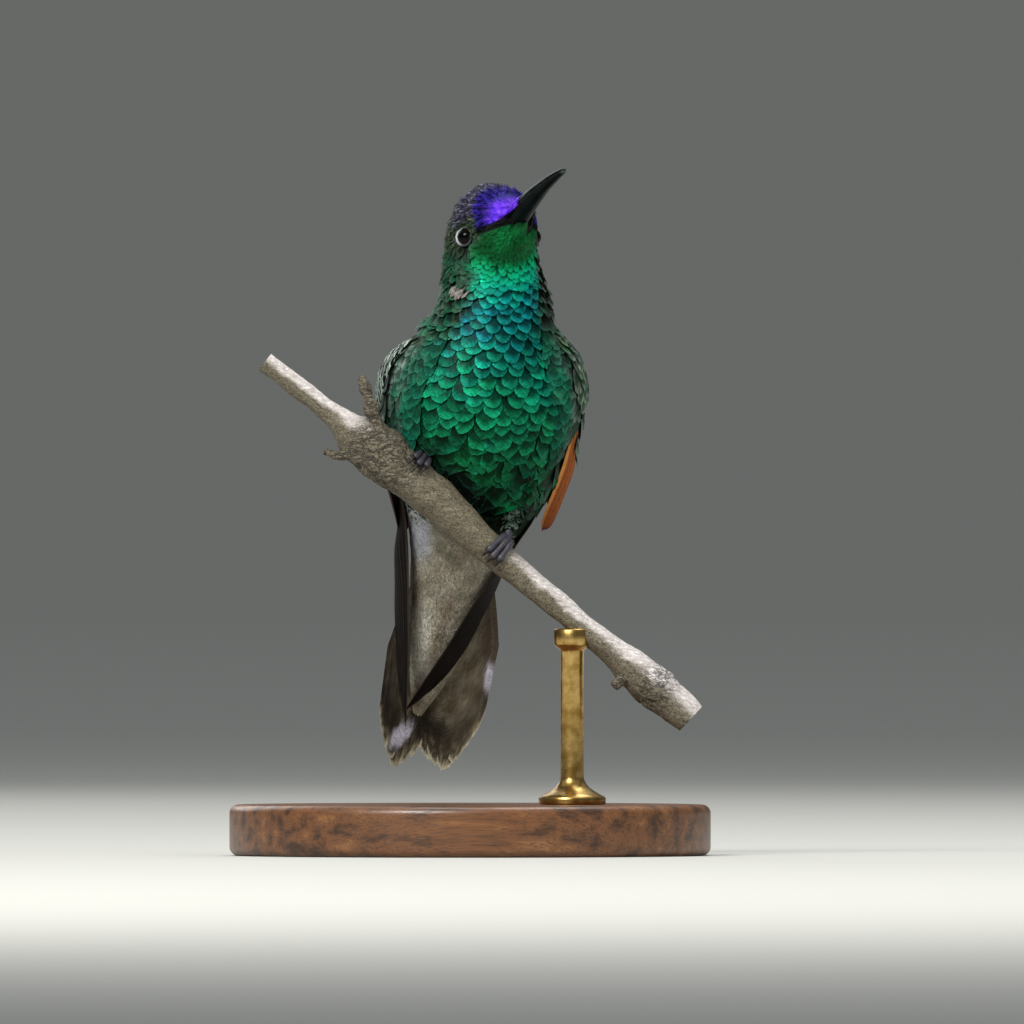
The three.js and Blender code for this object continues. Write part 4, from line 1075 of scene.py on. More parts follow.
def wing_net(side, name, below=()):
    """A wing plate's net: a falls from 1 at its top to 0 at its tip, and b runs to its back edge.

    Each row starts at the front edge and turns at an even rate, as an arc does. The rows in
    below carry the plate on past its own end."""
    sign = 1 if side == "left" else -1
    edges = np.array(WING_EDGES[side, name] + list(below))
    v, u = sheet(np.linspace(1, 0, 120), np.linspace(0, 1, 60))
    row = spline(edges, v * (len(edges) - 1))
    start, turn = np.radians(row[..., 4]), np.radians(row[..., 5] - row[..., 4])
    heading = start + turn * u
    aside = row[..., 3] * (np.cos(start) - np.cos(heading)) / turn
    back = row[..., 3] * (np.sin(heading) - np.sin(start)) / turn
    points = np.stack([row[..., 0] + sign * aside, row[..., 1] + back, row[..., 2]], -1)
    bare = Net(points, (0, 1), (0, 1), False)
    normal = bare.normal * -sign
    net = Net(points + normal * WING_LAYER[name], (0, 1), (0, 1), False)
    net.normal = net.normal * -sign
    return net


def flat_bake(a, b):
    """The bake map's place on a plate: b along U and a along V."""
    return np.stack([0.05 + 0.9 * np.clip(b, 0, 1), 0.05 + 0.9 * np.clip(a, 0, 1)], -1)


# ---- Flanks, thighs and undertail coverts -------------------------------------------------
# Loose feathers from the sides lie over the front edge of each folded wing. Pale fluff covers
# the legs, and long soft pale feathers the root of the tail.


def facing_out(net, way):
    """The net with its normals turned to the side that way points to."""
    net.normal = net.normal * np.sign(np.sum(net.normal * way, -1, keepdims=True))
    return net


def bridge_net(side):
    """A rounded surface from the breast over the wing's front edge: a falls from the neck down.

    Across it, b bends from the body's own surface (0) out to the wing plate's (1), as the curve
    drawn towards a point a little before the edge."""
    wing = wing_net(side, "coverts")
    sign = 1 if side == "left" else -1
    a, b = sheet(np.linspace(0, 1, 60), np.linspace(0, 1, 30))
    edge = wing.at(a, 0 * a, 0.1)
    rear = wing.at(a, 0 * a + 0.34, 0.7)
    places = np.linspace(4, 12.4, 50)
    heights = coat.read(coat.points, places, np.full(50, np.pi / 2))[:, 2]
    angle = np.radians(132 * sign) % (2 * np.pi)  # how far round from the back the surface starts
    near = coat.at(np.interp(edge[..., 2], heights, places), np.full_like(a, angle), 0.1)
    drawn = edge * 0.75 + near * 0.25 + np.array([0.5 * sign, -1.5, 0.0])
    share = b[..., None]
    points = near * (1 - share) ** 2 + drawn * 2 * share * (1 - share) + rear * share**2
    return facing_out(Net(points, (0, 1), (0, 1), False), points - coat.points[160].mean(0))


def flank_colour(spot, values):
    """The breast's green, duller outwards: ashen on the right shoulder, grey on the left side."""
    warp, grain = lumps(spot, 3.0, 62), lumps(spot, 0.9, 63)
    out = values["b"].clip(0, 1) + 0.15 * warp
    low = ease(spot[..., 2], 12.0, 5.0)
    near = blend(blend("0c5c46", "14684a", ease(grain, -0.5, 0.8)), "0c3a26", low)
    far = blend("275443", "48685a", ease(warp + 0.5 * grain, -0.8, 0.9))
    tone = blend(near, blend(far, "2c4234", low * 0.7), ease(out, 0.1, 0.55))
    ashen = blend("6c8577", "a3b3a9", ease(grain + 0.6 * warp, -0.6, 1.2))
    shoulder = ease(spot[..., 0], -5.5, -9.0) * ease(spot[..., 2], 9.0, 17.0)
    tone = blend(tone, ashen, shoulder * ease(out, 0.3, 0.95))
    grey = blend("44524a", "7f897d", ease(grain, -0.3, 0.9))
    return blend(tone, grey, ease(spot[..., 0], 11.0, 13.5) * ease(out, 0.25, 0.8) * 0.8)


for side in ("left", "right"):
    bridge = bridge_net(side)
    roots = root_rows(bridge, 1.06, 0.05, graded([0], [1.0]), graded([0], [1.5]), 64, 0.8)
    if side == "left":  # the rufous edge of the folded wing shows below these
        roots = roots[(roots[:, 0] > 0.32) | (roots[:, 1] < 0.5)]
    rng = np.random.default_rng(61)
    count = len(roots)
    slope = 0.25 * lumps(bridge.at(*roots.T, 0.0), 5.0, 65)
    laid = lay_vanes(
        bridge, flat_bake, roots, rng.uniform(2.8, 4.0, count), rng.uniform(1.6, 2.4, count),
        (-0.3, rng.uniform(0.08, 0.22, count)), lie=slope + rng.normal(0, 0.12, count), cup=0.06, arc=0.7,
        ragged=0.2, droop=0.1, seed=61,
    )
    dress(f"flank_{side}_feathers", laid, silky, "breast_feathers", painted_shade=0.6, jitter=0.16,
          painted_rim_light=0.22, hue=0.03, seed=5, colour=flank_colour)

# White loose barbs hang from the bird's right shoulder over its wing.
shoulder = wing_net("right", "coverts")
rng = np.random.default_rng(80)
count = 130
roots = np.stack([rng.uniform(0.42, 1.03, count), rng.uniform(0.02, 0.32, count)], -1)
laid = lay_vanes(
    shoulder, flat_bake, roots, rng.uniform(1.8, 3.4, count), rng.uniform(0.2, 0.45, count),
    (0.5, rng.uniform(0.7, 1.2, count)), lie=rng.uniform(-0.9, 0.3, count), cup=0.1, arc=1.0, narrow=0.6,
    droop=0.3, rows=7, cols=3, seed=81,
)


def filament_colour(spot, values):
    """Greyish white, greener at the root."""
    return blend("41574a", "98a49d", ease(values["s"] + 0.3 * lumps(spot, 2.0, 82), 0.2, 1.0))


dress("shoulder_filaments", laid, soft, "breast_feathers", jitter=0.2, hue=0.02, colour=filament_colour)


def thigh_net(side):
    """The thigh as rings from the shank (a = 0) up into the belly (a = 1)."""
    length = leg_line(side)[2]
    a, turn = sheet(np.linspace(0, 1, 30), circle(40))
    radius = np.interp(a, [0, 0.35, 0.7, 1], [0.7, 1.25, 1.75, 1.9])
    points, spoke = leg_point(side, SHANK - 1.2 + (length - SHANK + 1.2) * a, radius, turn)
    return facing_out(Net(points, (0, 1), (0, 2 * np.pi), True), spoke)


def thigh_bake(a, turn):
    """The bake map's place on a thigh: one patch of the belly's, for either leg."""
    return body_bake(5.5 + a, 2.2 + 0.3 * turn)


def thigh_colour(spot, values):
    """Pale greenish grey fluff, whiter towards the tips."""
    return blend("0e2318", "56665a", ease(values["s"] + 0.4 * lumps(spot, 1.5, 90), 0.4, 1.3))


for side in ("left", "right"):
    rng = np.random.default_rng(91)
    count = 420
    roots = np.stack([rng.uniform(0.12, 1.0, count), rng.uniform(0, 2 * np.pi, count)], -1)
    laid = lay_vanes(
        thigh_net(side), thigh_bake, roots, rng.uniform(1.2, 2.2, count),
        rng.uniform(0.25, 0.6, count), (-0.1, rng.uniform(0.15, 0.7, count)), lie=rng.normal(0, 0.3, count),
        cup=0.1, arc=1.0, narrow=0.6, ragged=0.3, rows=5, cols=3, seed=92,
    )
    dress(f"thigh_{side}_fluff", laid, soft, "breast_feathers", painted_shade=0.2, jitter=0.15, hue=0.02, seed=7,
          colour=thigh_colour)


def covert_colour(spot, values):
    """Beige-grey, with bluish white down at the vent, a pale patch of painted highlight and a brown streak;
    painted shade darkens it under the branch and where it reaches up over it.
    """
    warp, fine = lumps(spot, 3.5, 14), lumps(spot, 0.8, 15)
    tone = blend("7c7768", "9a9585", ease(warp + 0.5 * fine, -0.8, 0.9))
    down = ease(spot[..., 2] + 0.6 * warp, -6.5, -3.5) * ease(spot[..., 0] + 0.4 * fine, -4.4, -6.6)
    tone = blend(tone, "b4b9c4", down * 0.8)
    # Painted highlight: a pale patch low on the bird's right side of the coverts.
    lit_patch = ease(np.abs(spot[..., 2] + 18.0), 7.0, 3.0) * ease(spot[..., 0] + 0.5 * warp, -4.6, -6.4)
    tone = blend(tone, "d2d2c4", lit_patch * 0.65)
    streak = ease(np.abs(spot[..., 0] - 0.36 * (spot[..., 2] + 14.0) + 3.6), 1.1, 0.3)
    tone = blend(tone, "54392a", streak * ease(spot[..., 2], -9.0, -12.0) * 0.4)
    # Painted shade: darker just under the branch.
    tone = blend(tone, "2e2a25", ease(spot[..., 2], -4.0, -0.5) * ease(spot[..., 0], -6.0, -3.0) * 0.6)
    tone = blend(tone, "1c3a29", ease(np.cos(values["b"]) + 0.06 * warp, -0.12, 0.08) * 0.9)
    # Painted shade: dark green where the coverts reach up over the branch.
    return blend(tone, "0c2014", ease(spot @ [0.665, 0.0, 0.747] + 0.5 * warp, -0.6, 0.8) * 0.95)


roots = root_rows(coat, 6.1, 0.3, graded([0], [0.56]), graded([0], [0.40]), 13, 0.8)
roots = roots[np.cos(roots[:, 1]) < 0.2]
rng = np.random.default_rng(7)
count = len(roots)
laid = lay_vanes(
    coat, body_bake, roots, rng.uniform(3.2, 4.6, count) * np.interp(roots[:, 0], [0.3, 1.2], [0.4, 1]),
    rng.uniform(0.45, 0.8, count), (-0.15, rng.uniform(0.01, 0.035, count)),
    lie=rng.normal(0, 0.05, count), cup=0.01, arc=1.0, narrow=0.6, ragged=0.05, rows=5, cols=3, seed=33,
)
dress("undertail_coverts", laid, downy, "vent_feathers", painted_shade=0.12, jitter=0.11, hue=0.015, seed=3,
      colour=covert_colour)

# ---- Bill ---------------------------------------------------------------------------------
# Two slim halves of black horn, each D-shaped in section, that arch and taper to the tip.
# The upper half overhangs the lower one and has a nostril slit on each side near its root.

BILL_LENGTH, BILL_SUNK, BILL_HALF, BILL_DEPTH, BILL_ARCH, SEAM = 15.4, 1.6, 1.65, 1.5, 0.55, 0.06
OVERBITE = 0.35


def bill_size(ahead):
    """The bill's half width, half depth and arch, from the distance ahead of its root."""
    t = np.clip(ahead / BILL_LENGTH, 0, 1)
    taper = 1 - 0.32 * np.minimum(t * 1.8, 1) - 0.46 * t**2.6
    return BILL_HALF * taper, BILL_DEPTH * taper, 4 * BILL_ARCH * t * (1 - t)


def bill_half(sign, length):
    """Half of the bill: half an ellipse over the seam, swept forward along its arch."""
    ahead = np.linspace(-BILL_SUNK, length, 110)[:, None]
    blunt = np.sqrt(np.clip((length - ahead) / 0.5, 0.02, 1))
    half, depth, arch = bill_size(ahead)
    angle = np.concatenate([np.linspace(0, np.pi, 25), np.linspace(np.pi, 0, 9)[1:-1]])[None, :]
    flat = np.concatenate([np.zeros(25), np.ones(7)])[None, :]
    groove = 1 - 0.05 * np.exp(-(((np.sin(angle) - 0.62) / 0.1) ** 2)) * ease(ahead, 9.0, 1.5)
    slit = np.exp(-(((ahead - 3.6) / 1.0) ** 2) - ((np.sin(angle) - 0.42) / 0.10) ** 2) * (sign > 0)
    rise = np.where(flat > 0, SEAM, SEAM + np.sin(angle) * (depth * blunt * groove - SEAM))
    across = np.cos(angle) * half * blunt * (1 - 0.14 * slit)
    shape = tube(head_point(ahead + 0 * angle, across, arch + sign * rise) + GRIP)
    # Painted highlight: greenish grey along the upper half's top and sides, and at the tip of both halves.
    bill_highlight = ease(np.sin(angle), 0.3, 0.85) * (1 - flat) * (sign > 0) + 0 * ahead
    tip = ease(ahead, length - 0.9, length) + 0 * angle
    tone = np.append(np.maximum(bill_highlight * ease(ahead, 0.0, 5.0), tip * 0.9).ravel(), [0, 1])
    shape["tint"] = np.repeat(tone[:, None], 3, 1)
    return shape


def horn_finish():
    """Black horn: satin, with a painted greenish grey highlight along the upper ridge and at the tip."""
    horn = Finish("black_horn")
    lines = horn.noise(horn.place(), 2.2, 4.0)
    bloom = horn.noise(horn.place(), 0.5, 2.0)
    bill_highlight = horn.node("SeparateColor", Color=horn.markings())
    black = horn.ramp(bloom, (0.35, "010405"), (0.7, "050d0e"))
    return horn.surface(
        Base_Color=horn.mix(bill_highlight * (0.6 + bloom * 0.4), black, "4d5c56"),
        Roughness=0.30 + lines * 0.2,
        Specular_IOR_Level=0.06,
        Normal=horn.bump(lines, 0.02, 0.4),
    )


horn = horn_finish()
add_piece("bill_upper_horn", [bill_half(1, BILL_LENGTH)], horn, "bill", "bill_upper")
add_piece("bill_lower_horn", [bill_half(-1, BILL_LENGTH - OVERBITE)], horn, "bill", "bill_lower")


# The first small feathers of the forehead and chin run forward over the root of the bill.
def collar_net():
    """Rings round the bill's root, just wider than the bill: longest above, shortest at the gape."""
    a, theta = sheet(np.linspace(0, 1, 30), circle(90))
    above, below = ease(np.cos(theta), -0.32, -0.08), ease(-np.cos(theta), 0.75, 0.95)
    ahead = -1.5 + a * (0.7 + 4.0 * above + 1.5 * below)
    half, depth, arch = bill_size(ahead)
    over = np.interp(ahead, [-1.5, -0.8, 0.0, 1.3, 3.5], [1.1, 0.6, 0.28, 0.14, 0.08])
    points = head_point(ahead, np.sin(theta) * (half + over), arch + np.cos(theta) * (depth + over))
    return Net(points, (0, 1), (0, 2 * np.pi), True)


def collar_bake(a, theta):
    """The bake map's place on the collar: the front end of the body's."""
    return body_bake(17.2 + 0.8 * a, theta)


def collar_colour(spot, values):
    """Violet above, duller on top and to the left, dark green below, and black at the gape."""
    tone = plumage(spot, 17.9 + 0 * values["a"], values["b"])
    dull = ease(np.sin(values["b"]), -0.75, -0.1) * ease(np.cos(values["b"]), -0.3, 0.0)
    tone = blend(tone, "231458", dull * 0.8)
    side = ease(np.cos(values["b"]), -0.05, -0.2) * ease(np.cos(values["b"]), -0.95, -0.80)
    return blend(tone, "030303", side)


collar = collar_net()
roots = root_rows(collar, 1.0, 0.12, graded([0], [0.26]), graded([0], [0.34]), 14, 0.5)
rng = np.random.default_rng(15)
count = len(roots)
laid = lay_vanes(
    collar, collar_bake, roots, rng.uniform(0.6, 1.3, count), 0.36,
    (-0.04, 0.04 + 0.05 * rng.random(count)), lie=rng.normal(0, 0.12, count), cup=0.1, arc=0.8,
    ragged=0.2, rows=5, cols=5, seed=16,
)
dress("bill_root_feathers", laid, velvet, "violet_feathers", painted_shade=0.2, rim=0.1, hue=0.05,
      colour=collar_colour)

# ---- Eyes and lids ------------------------------------------------------------------------
# Wet dark brown eyes, each a ball with a slightly fuller cornea, set in a ring of bare lid.
# Rows of minute feathers lie round the lids, and behind each eye there is a small white spot.


def eye_ball(side):
    """Rings from the cornea's middle to the back of the ball, fuller over the iris."""
    middle, gaze, across, up = eye_axes(side)
    polar, angle = sheet(np.linspace(0.02, np.pi - 0.02, 60), circle(64))
    radius = (EYE_RADIUS - 0.03 + 0.09 * np.exp(-((polar / 0.6) ** 2)))[..., None]
    shape = tube(middle + spokes(gaze, spokes(across, up, angle), polar) * radius + GRIP)
    shape["tint"] = np.repeat(np.append(polar.ravel(), [0, np.pi])[:, None] / np.pi, 3, 1)
    return shape


def lid_ring(side):
    """A soft ring of lid: a thin torus that hugs the ball, wrinkled across."""
    middle, gaze, across, up = eye_axes(side)
    angle, turn = sheet(circle(96), circle(14))
    open_angle = 0.92 - 0.05 * np.cos(2 * angle)
    behind = ease(np.cos(angle - (np.pi - 0.45 if side > 0 else 0.45)), -0.2, 0.9)
    fat = 0.13 * (1 + 0.35 * behind + 0.12 * np.sin(angle * 24))
    round_eye = spokes(across, up, angle)
    hub, over = spokes(gaze, round_eye, open_angle), spokes(round_eye, -gaze, open_angle)
    points = middle + hub * (EYE_RADIUS + fat * np.cos(turn))[..., None]
    points = points + over * (fat * 1.5 * np.sin(turn))[..., None]
    index = np.arange(angle.size).reshape(angle.shape)
    ahead, next_side = np.roll(index, -1, 0), np.roll(index, -1, 1)
    faces = np.stack([index, next_side, np.roll(next_side, -1, 0), ahead], -1).reshape(-1, 4)
    flat = points.reshape(-1, 3) + GRIP
    shape = {"points": flat, "faces": outward(flat, [faces])}
    # Pale behind: partly the lid's own pale skin and partly a painted highlight on its upper rear.
    shape["tint"] = blend("232426", "a4aab0", behind.ravel())
    return shape


def eye_finish():
    """A black pupil in a dark brown iris under a clear wet coat."""
    eye = Finish("wet_eye")
    polar = eye.node("SeparateColor", Color=eye.markings())
    grain = eye.noise(eye.place(), 6.0, 3.0)
    iris = eye.ramp(grain, (0.3, "030202"), (0.75, "0a0604"))
    tone = eye.mix(eye.ramp(polar, (0.13, 0.0), (0.16, 1.0)), "020202", iris)
    tone = eye.mix(eye.ramp(polar, (0.24, 0.0), (0.28, 1.0)), tone, "050404")
    return eye.surface(Base_Color=tone, Roughness=0.04, Specular_IOR_Level=0.1)


def lid_finish():
    """Bare lid: dusky in front and pale behind, partly pale skin and partly a painted highlight, finely
    pebbled.
    """
    lid = Finish("bare_lid")
    grain = lid.noise(lid.place(), 7.0, 2.0)
    return lid.surface(
        Base_Color=lid.markings(),
        Roughness=0.55,
        Normal=lid.bump(grain, 0.03, 0.6),
    )


wet_eye, bare_lid = eye_finish(), lid_finish()
for side, name in ((1, "left"), (-1, "right")):
    add_piece(f"eyeball_{name}", [eye_ball(side)], wet_eye, "eye", f"eye_{name}")
    add_piece(f"eyelid_{name}", [lid_ring(side)], bare_lid, "leg_skin")

# ---- Wing feathers ------------------------------------------------------------------------
# Single vanes with a raised shaft, laid side by side like a closed fan, make the folded wing's
# blades. Shorter scale-like coverts cover its shoulder over a thin backing.


def backing_shape(net, thick, tint):
    """A thin closed plate that lines the coverts' surface, its rim drawn to an edge."""
    s, b = sheet(np.linspace(0, 1, 40), np.linspace(0, 1, 30))
    a = 0.99 - 0.98 * s
    out = np.full_like(a, thick / 2)
    a_all, b_all, height = (
        both_sides(outer[None], inner[None])[0]
        for outer, inner in ((a, a), (b, b), (out * np.sin(np.pi * s) ** 0.3, -out))
    )
    points = net.at(a_all, b_all, height) + GRIP
    shape = {"points": points, "faces": outward(points, [vane_faces(*a.shape)])}
    shape["tint"] = np.tile(linear(tint), (len(points), 1))
    shape["bake"], shape["rim"] = flat_bake(a_all, b_all), vane_rim(*a.shape)
    shape["fibre"] = shape["bake"] * 20
    return shape


TIP_FROM = 0.82  # where a pointed blade starts to close


def blade(net, span, reach, rise, paint, shaft, ragged, seed, tilt, rows=30, cols=13, thick=0.09, neck=0.5,
          blunt=0.0):
    """A long closed vane with a raised shaft, over b from span[0] to span[1] of a surface.

    Its sides run along the surface's own lines from a = reach[0] to reach[1]. Past TIP_FROM it
    closes like an ellipse, or else its end is cut round by blunt. neck is its share of the width
    at the root. tilt lifts one edge over the next blade. paint gives its colours from a dict:
    its points, each one's s along and t across it, and which of them lie on its inner side."""
    rng = np.random.default_rng(seed)
    s, t = sheet(np.linspace(0, 1, rows), np.linspace(-1, 1, cols))
    past = np.clip((s - TIP_FROM) / (1 - TIP_FROM), 0, 1)
    closing = 1.0 if blunt else np.sqrt(1 - past**2)
    open_up = neck + (1 - neck) * ease(s, 0.0, 0.25)
    tear = 1 + ragged * rng.normal(0, 1, (rows, cols)) * np.abs(t) * ease(s, 0.3, 1.0)
    middle, half = (span[0] + span[1]) / 2, (span[1] - span[0]) / 2
    web = np.where(t < shaft, (t - shaft) / (1 + shaft), (t - shaft) / (1 - shaft))
    width = closing * open_up * tear
    b = middle + half * (shaft + (t - shaft) * width)
    fray = ragged * rng.normal(0, 0.6, (1, cols)) * ease(s, 0.85, 1.0)
    end = 1 - blunt * (1 - np.sqrt(1 - (0.98 * t) ** 2))
    a = reach[0] + (reach[1] - reach[0]) * (s * (end + fray))
    ridge = np.exp(-((t - shaft) / 0.09) ** 2) * 0.09 * (1 - 0.75 * s)
    out = rise + ridge + tilt * t * width - 0.03 * web**2
    length = np.linalg.norm(np.diff(net.at(a[[0, -1], 0], b[[0, -1], 0], np.zeros(2)), axis=0))
    grids = {"a": a, "b": b, "s": s, "t": t, "x": web * width * 2.2, "y": s * length}
    at = {key: both_sides(grid[None], grid[None])[0] for key, grid in grids.items()}
    points = net.at(at["a"], at["b"], both_sides(out[None], out[None] - thick)[0]) + GRIP
    shape = {"points": points, "faces": outward(points, [vane_faces(rows, cols)])}
    shape["fibre"] = np.stack([at["x"], at["y"]], -1)
    shape["bake"] = flat_bake(at["a"], at["b"])
    shape["rim"] = vane_rim(rows, cols)
    at["points"], at["inner"] = points, np.arange(len(points)) >= rows * cols
    tint = paint(at)
    shape["tint"] = blend(tint, tint * 1.6 + 0.03, np.exp(-((at["t"] - shaft) / 0.07) ** 2) * 0.8)
    return shape


def rufous(at):
    """Rufous secondaries: a bright tan edge, a redder web that pales towards its far edge, with painted shade
    where it comes out from under the blade beside it, and a dusky tip and inner side.
    """
    s, t = at["s"], at["t"]
    web = blend("c08043", "7c4018", ease(t, -0.9, 0.1))
    # Painted shade and light: redder and darker next to the blade over it, paler towards the far edge.
    web = blend(web, "a8662f", ease(t, 0.45, 0.95) * 0.4)
    web = blend(web, "5a260e", ease(s, 0.45, 0.95) * 0.6)
    web = blend(web, "1c120d", at["inner"] * 0.92)
    return blend(web, "2c1810", ease(s, 0.88, 1.0) * 0.8 + ease(s, 0.3, 0.0) * 0.3)


def dusky(at):
    """Primaries: a brown outer web, a blacker inner one and paler edges."""
    web = blend("2b211b", "0a0908", ease(at["t"], -0.5, 0.2))
    return blend(web, "574c44", ease(np.abs(at["t"]), 0.86, 0.97) * 0.6 * ease(at["s"], 0.0, 0.2))


lesser_gap = graded([0.3, 0.65, 1.0], [2.0, 1.35, 0.85])
lesser_width = graded([0.3, 0.65, 1.0], [2.4, 1.9, 1.25])


def shoulder_colour(spot, values):
    """Wing coverts: bronze-green, ashen along the front edge of the bird's right shoulder."""
    warp, grain = lumps(spot, 2.5, 33), lumps(spot, 0.9, 34)
    tone = blend("24482f", "4b5a42", ease(warp, -0.3, 0.8))
    ashen = blend("566b5d", "a7b3ab", ease(grain, -0.3, 1.0))
    tone = blend(tone, ashen, ease(spot[..., 0], -6.0, -9.0) * ease(values["b"], 0.45, 0.05) * 0.8)
    pale = ease(spot[..., 0], 13.0, 14.6) * ease(values["b"], 0.4, 0.1) * ease(grain, -0.2, 0.5)
    return blend(tone, "8f978c", pale * 0.7)


flight = feather_finish("flight_feather", 0.0, 0.6, barb=0.35, fleck=0.3, shine=0.08)
bronzed = feather_finish("bronzed_feather", 0.2, 0.55, barb=0.25, shine=0.12)
BLADES = {"secondaries": (8, rufous, "rufous_feathers"), "primaries": (8, dusky, "flight_feathers")}
HIDDEN = 2  # the right wing's first secondaries, which are dusky where they show in front
for side in ("left", "right"):
    for name, (count, paint, slot) in BLADES.items():
        net = wing_net(side, name)
        shapes = []
        for k in range(count):
            start = k / count - 0.10
            top = 0.8 if name == "secondaries" and (side == "right" or k > 1) else 1.0
            reach = (top, 0.012 + (0.10 if name == "primaries" else 0.05) * (k / count) ** 1.5)
            rise = 0.16 - 0.32 * k / count
            shapes.append(blade(
                net, (max(start, 0.0), min((k + 1) / count + 0.03, 1.0)), reach, rise,
                dusky if side == "right" and k < HIDDEN else paint,
                shaft=-0.45, ragged=0.03, seed=40 + k, tilt=0.02,
            ))
        add_piece(f"wing_{side}_{name}_blades", shapes, flight, slot, f"wing_{side}_{name}")

    net = wing_net(side, "coverts")
    # The backing is painted a dark green: painted shade where it shows between the coverts.
    backing = backing_shape(net, 0.3, "26382b")
    end = 2 / (len(WING_EDGES[side, "coverts"]) + 1)  # where the plate itself ends, on the longer net
    net = wing_net(side, "coverts", WING_EDGES[side, "secondaries"][2:4])
    roots = root_rows(net, 1.04, end + 0.02, lesser_gap, lesser_width, 50, 0.35)
    roots = roots[(roots[:, 0] > end + 0.30) | (roots[:, 1] > (0.24 if side == "left" else 0.06))]
    over_edge = ease(roots[:, 1], -0.05, 0.12)  # the flank's feathers lie over the front edge
    last = ease(roots[:, 0], end + 0.35, end + 0.12)  # the last rows lie over the secondaries' roots
    rng = np.random.default_rng(50)
    count = len(roots)
    laid = lay_vanes(
        net, flat_bake, roots, lesser_gap(*roots.T) * rng.uniform(2.7, 3.2, count) * (1 - 0.2 * last),
        lesser_width(*roots.T) * rng.uniform(1.15, 1.35, count),
        (0.1 * over_edge, 0.25 + rng.uniform(0.25, 0.4, count) * over_edge + 0.5 * last),
        lie=rng.normal(0, 0.10, count), cup=0.08, arc=0.65, ragged=0.08, seed=51,
    )
    dress(f"wing_{side}_covert_feathers", laid, bronzed, "mantle_feathers",
          painted_shade=0.55, jitter=0.2, painted_rim_light=0.3, seed=4, colour=shoulder_colour)
    add_piece(f"wing_{side}_shoulder", [backing], soft, "mantle_feathers", f"wing_{side}_coverts")

# ---- Tail ---------------------------------------------------------------------------------
# Ten broad tail feathers in two halves that fall away from the middle like a low roof.
# The outer ones lie lowest, so their pale undersides with dusky ends show from the front.

TAIL_ROOT, TAIL_RUN = np.array([-2.2, 14.2, -3.4]), np.array([-5.2, 6.5, -30.8])
TAIL_HALF, TAIL_NECK = 8.6, 0.42  # half the width, and its share at the root
TAIL_ROOF, TAIL_TURN = 18, 18  # degrees that each half falls away, and that the tail is turned
TAIL_NOTCH, TAIL_LOBE, TAIL_CORNER = 0.92, 0.09, 0.12  # shares of the length


def tail_net(half_sign):
    """One half of the tail: a falls from 1 at the root to 0 at the end, b is -1 to 1 across.

    The end is notched in the middle, lobed, and cut back at its corners."""
    slope = np.radians(TAIL_TURN - TAIL_ROOF * half_sign)
    v, across = sheet(np.linspace(1, 0, 120), np.linspace(-1, 1, 81))
    m = np.abs(across)
    lobe = TAIL_LOBE * np.sin(np.pi * np.minimum(m * 1.15, 1))
    reach = TAIL_NOTCH + lobe - TAIL_CORNER * m**5 + 0.015 * across
    run = 0.02 + v * (reach - 0.02)
    opened = TAIL_NECK + (1 - TAIL_NECK) * np.clip(run * 2.2, 0, 1) ** 0.7
    half = TAIL_HALF * opened * (1 - 0.1 * v * m)
    shift = [across * half * np.cos(slope), across * half * np.sin(slope) - 0.35 * (1 - m) ** 2, 0 * half]
    net = Net(TAIL_ROOT + TAIL_RUN * run[..., None] + np.stack(shift, -1), (0, 1), (-1, 1), False)
    net.normal = net.normal * -np.sign(net.normal[..., 1:2])
    return net


SHEEN_SPOTS = [  # x and z of each lilac-white spot of painted sheen, its half width and half height, and its slant
    (-9.6, -29.6, 2.3, 1.1, 0.75), (2.7, -21.8, 0.8, 2.2, 0.0),
]


def tail_paint(k):
    """The underside of the k-th feather from the middle: pale grey, dusky ends, cream tips."""

    def paint(at):
        """The markings at each point of the feather's lower and upper sides."""
        s, local = at["s"], at["points"] - GRIP
        warp, grain = lumps(at["points"], 2.6, 60), lumps(at["points"], 0.9, 66)
        grey = blend("777060", "5c5443", ease(warp + 0.5 * grain, -0.8, 0.8))
        grey = blend(grey, "4a4037", ease(local[:, 0], 0.6, 2.6) * 0.9)
        grey = blend(grey, "241f1b", ease(local[:, 0], -8.5, -10.5) * 0.75)
        dark = ease(s + 0.05 * warp, 0.68, 0.86) * (0.92 - 0.08 * k)
        tone = blend(grey, "17130f", dark)
        # Painted sheen: lilac-white spots of reflected sky light.
        for x, z, wide, high, slant in SHEEN_SPOTS:
            across, down = local[:, 0] - x, local[:, 2] - z
            along = across * np.cos(slant) + down * np.sin(slant)
            aside = down * np.cos(slant) - across * np.sin(slant)
            near = np.hypot(along / wide, aside / high) + 0.25 * grain
            tone = blend(tone, "b9b6c6", ease(near, 1.25, 0.6) * 0.9)
        above = blend("16261b", "2b4130", ease(warp + grain, -0.8, 0.9))
        tone = blend(tone, above, at["inner"] * (0.85 - 0.15 * k))
        tone = blend(tone, "7a705a", ease(s, 0.89, 0.95) * ease(grain + 0.6 * warp, -0.3, 0.6) * 0.75)
        return blend(tone, "c4bfa6", ease(s + 0.006 * grain, 0.97, 0.992) * 0.85)

    return paint


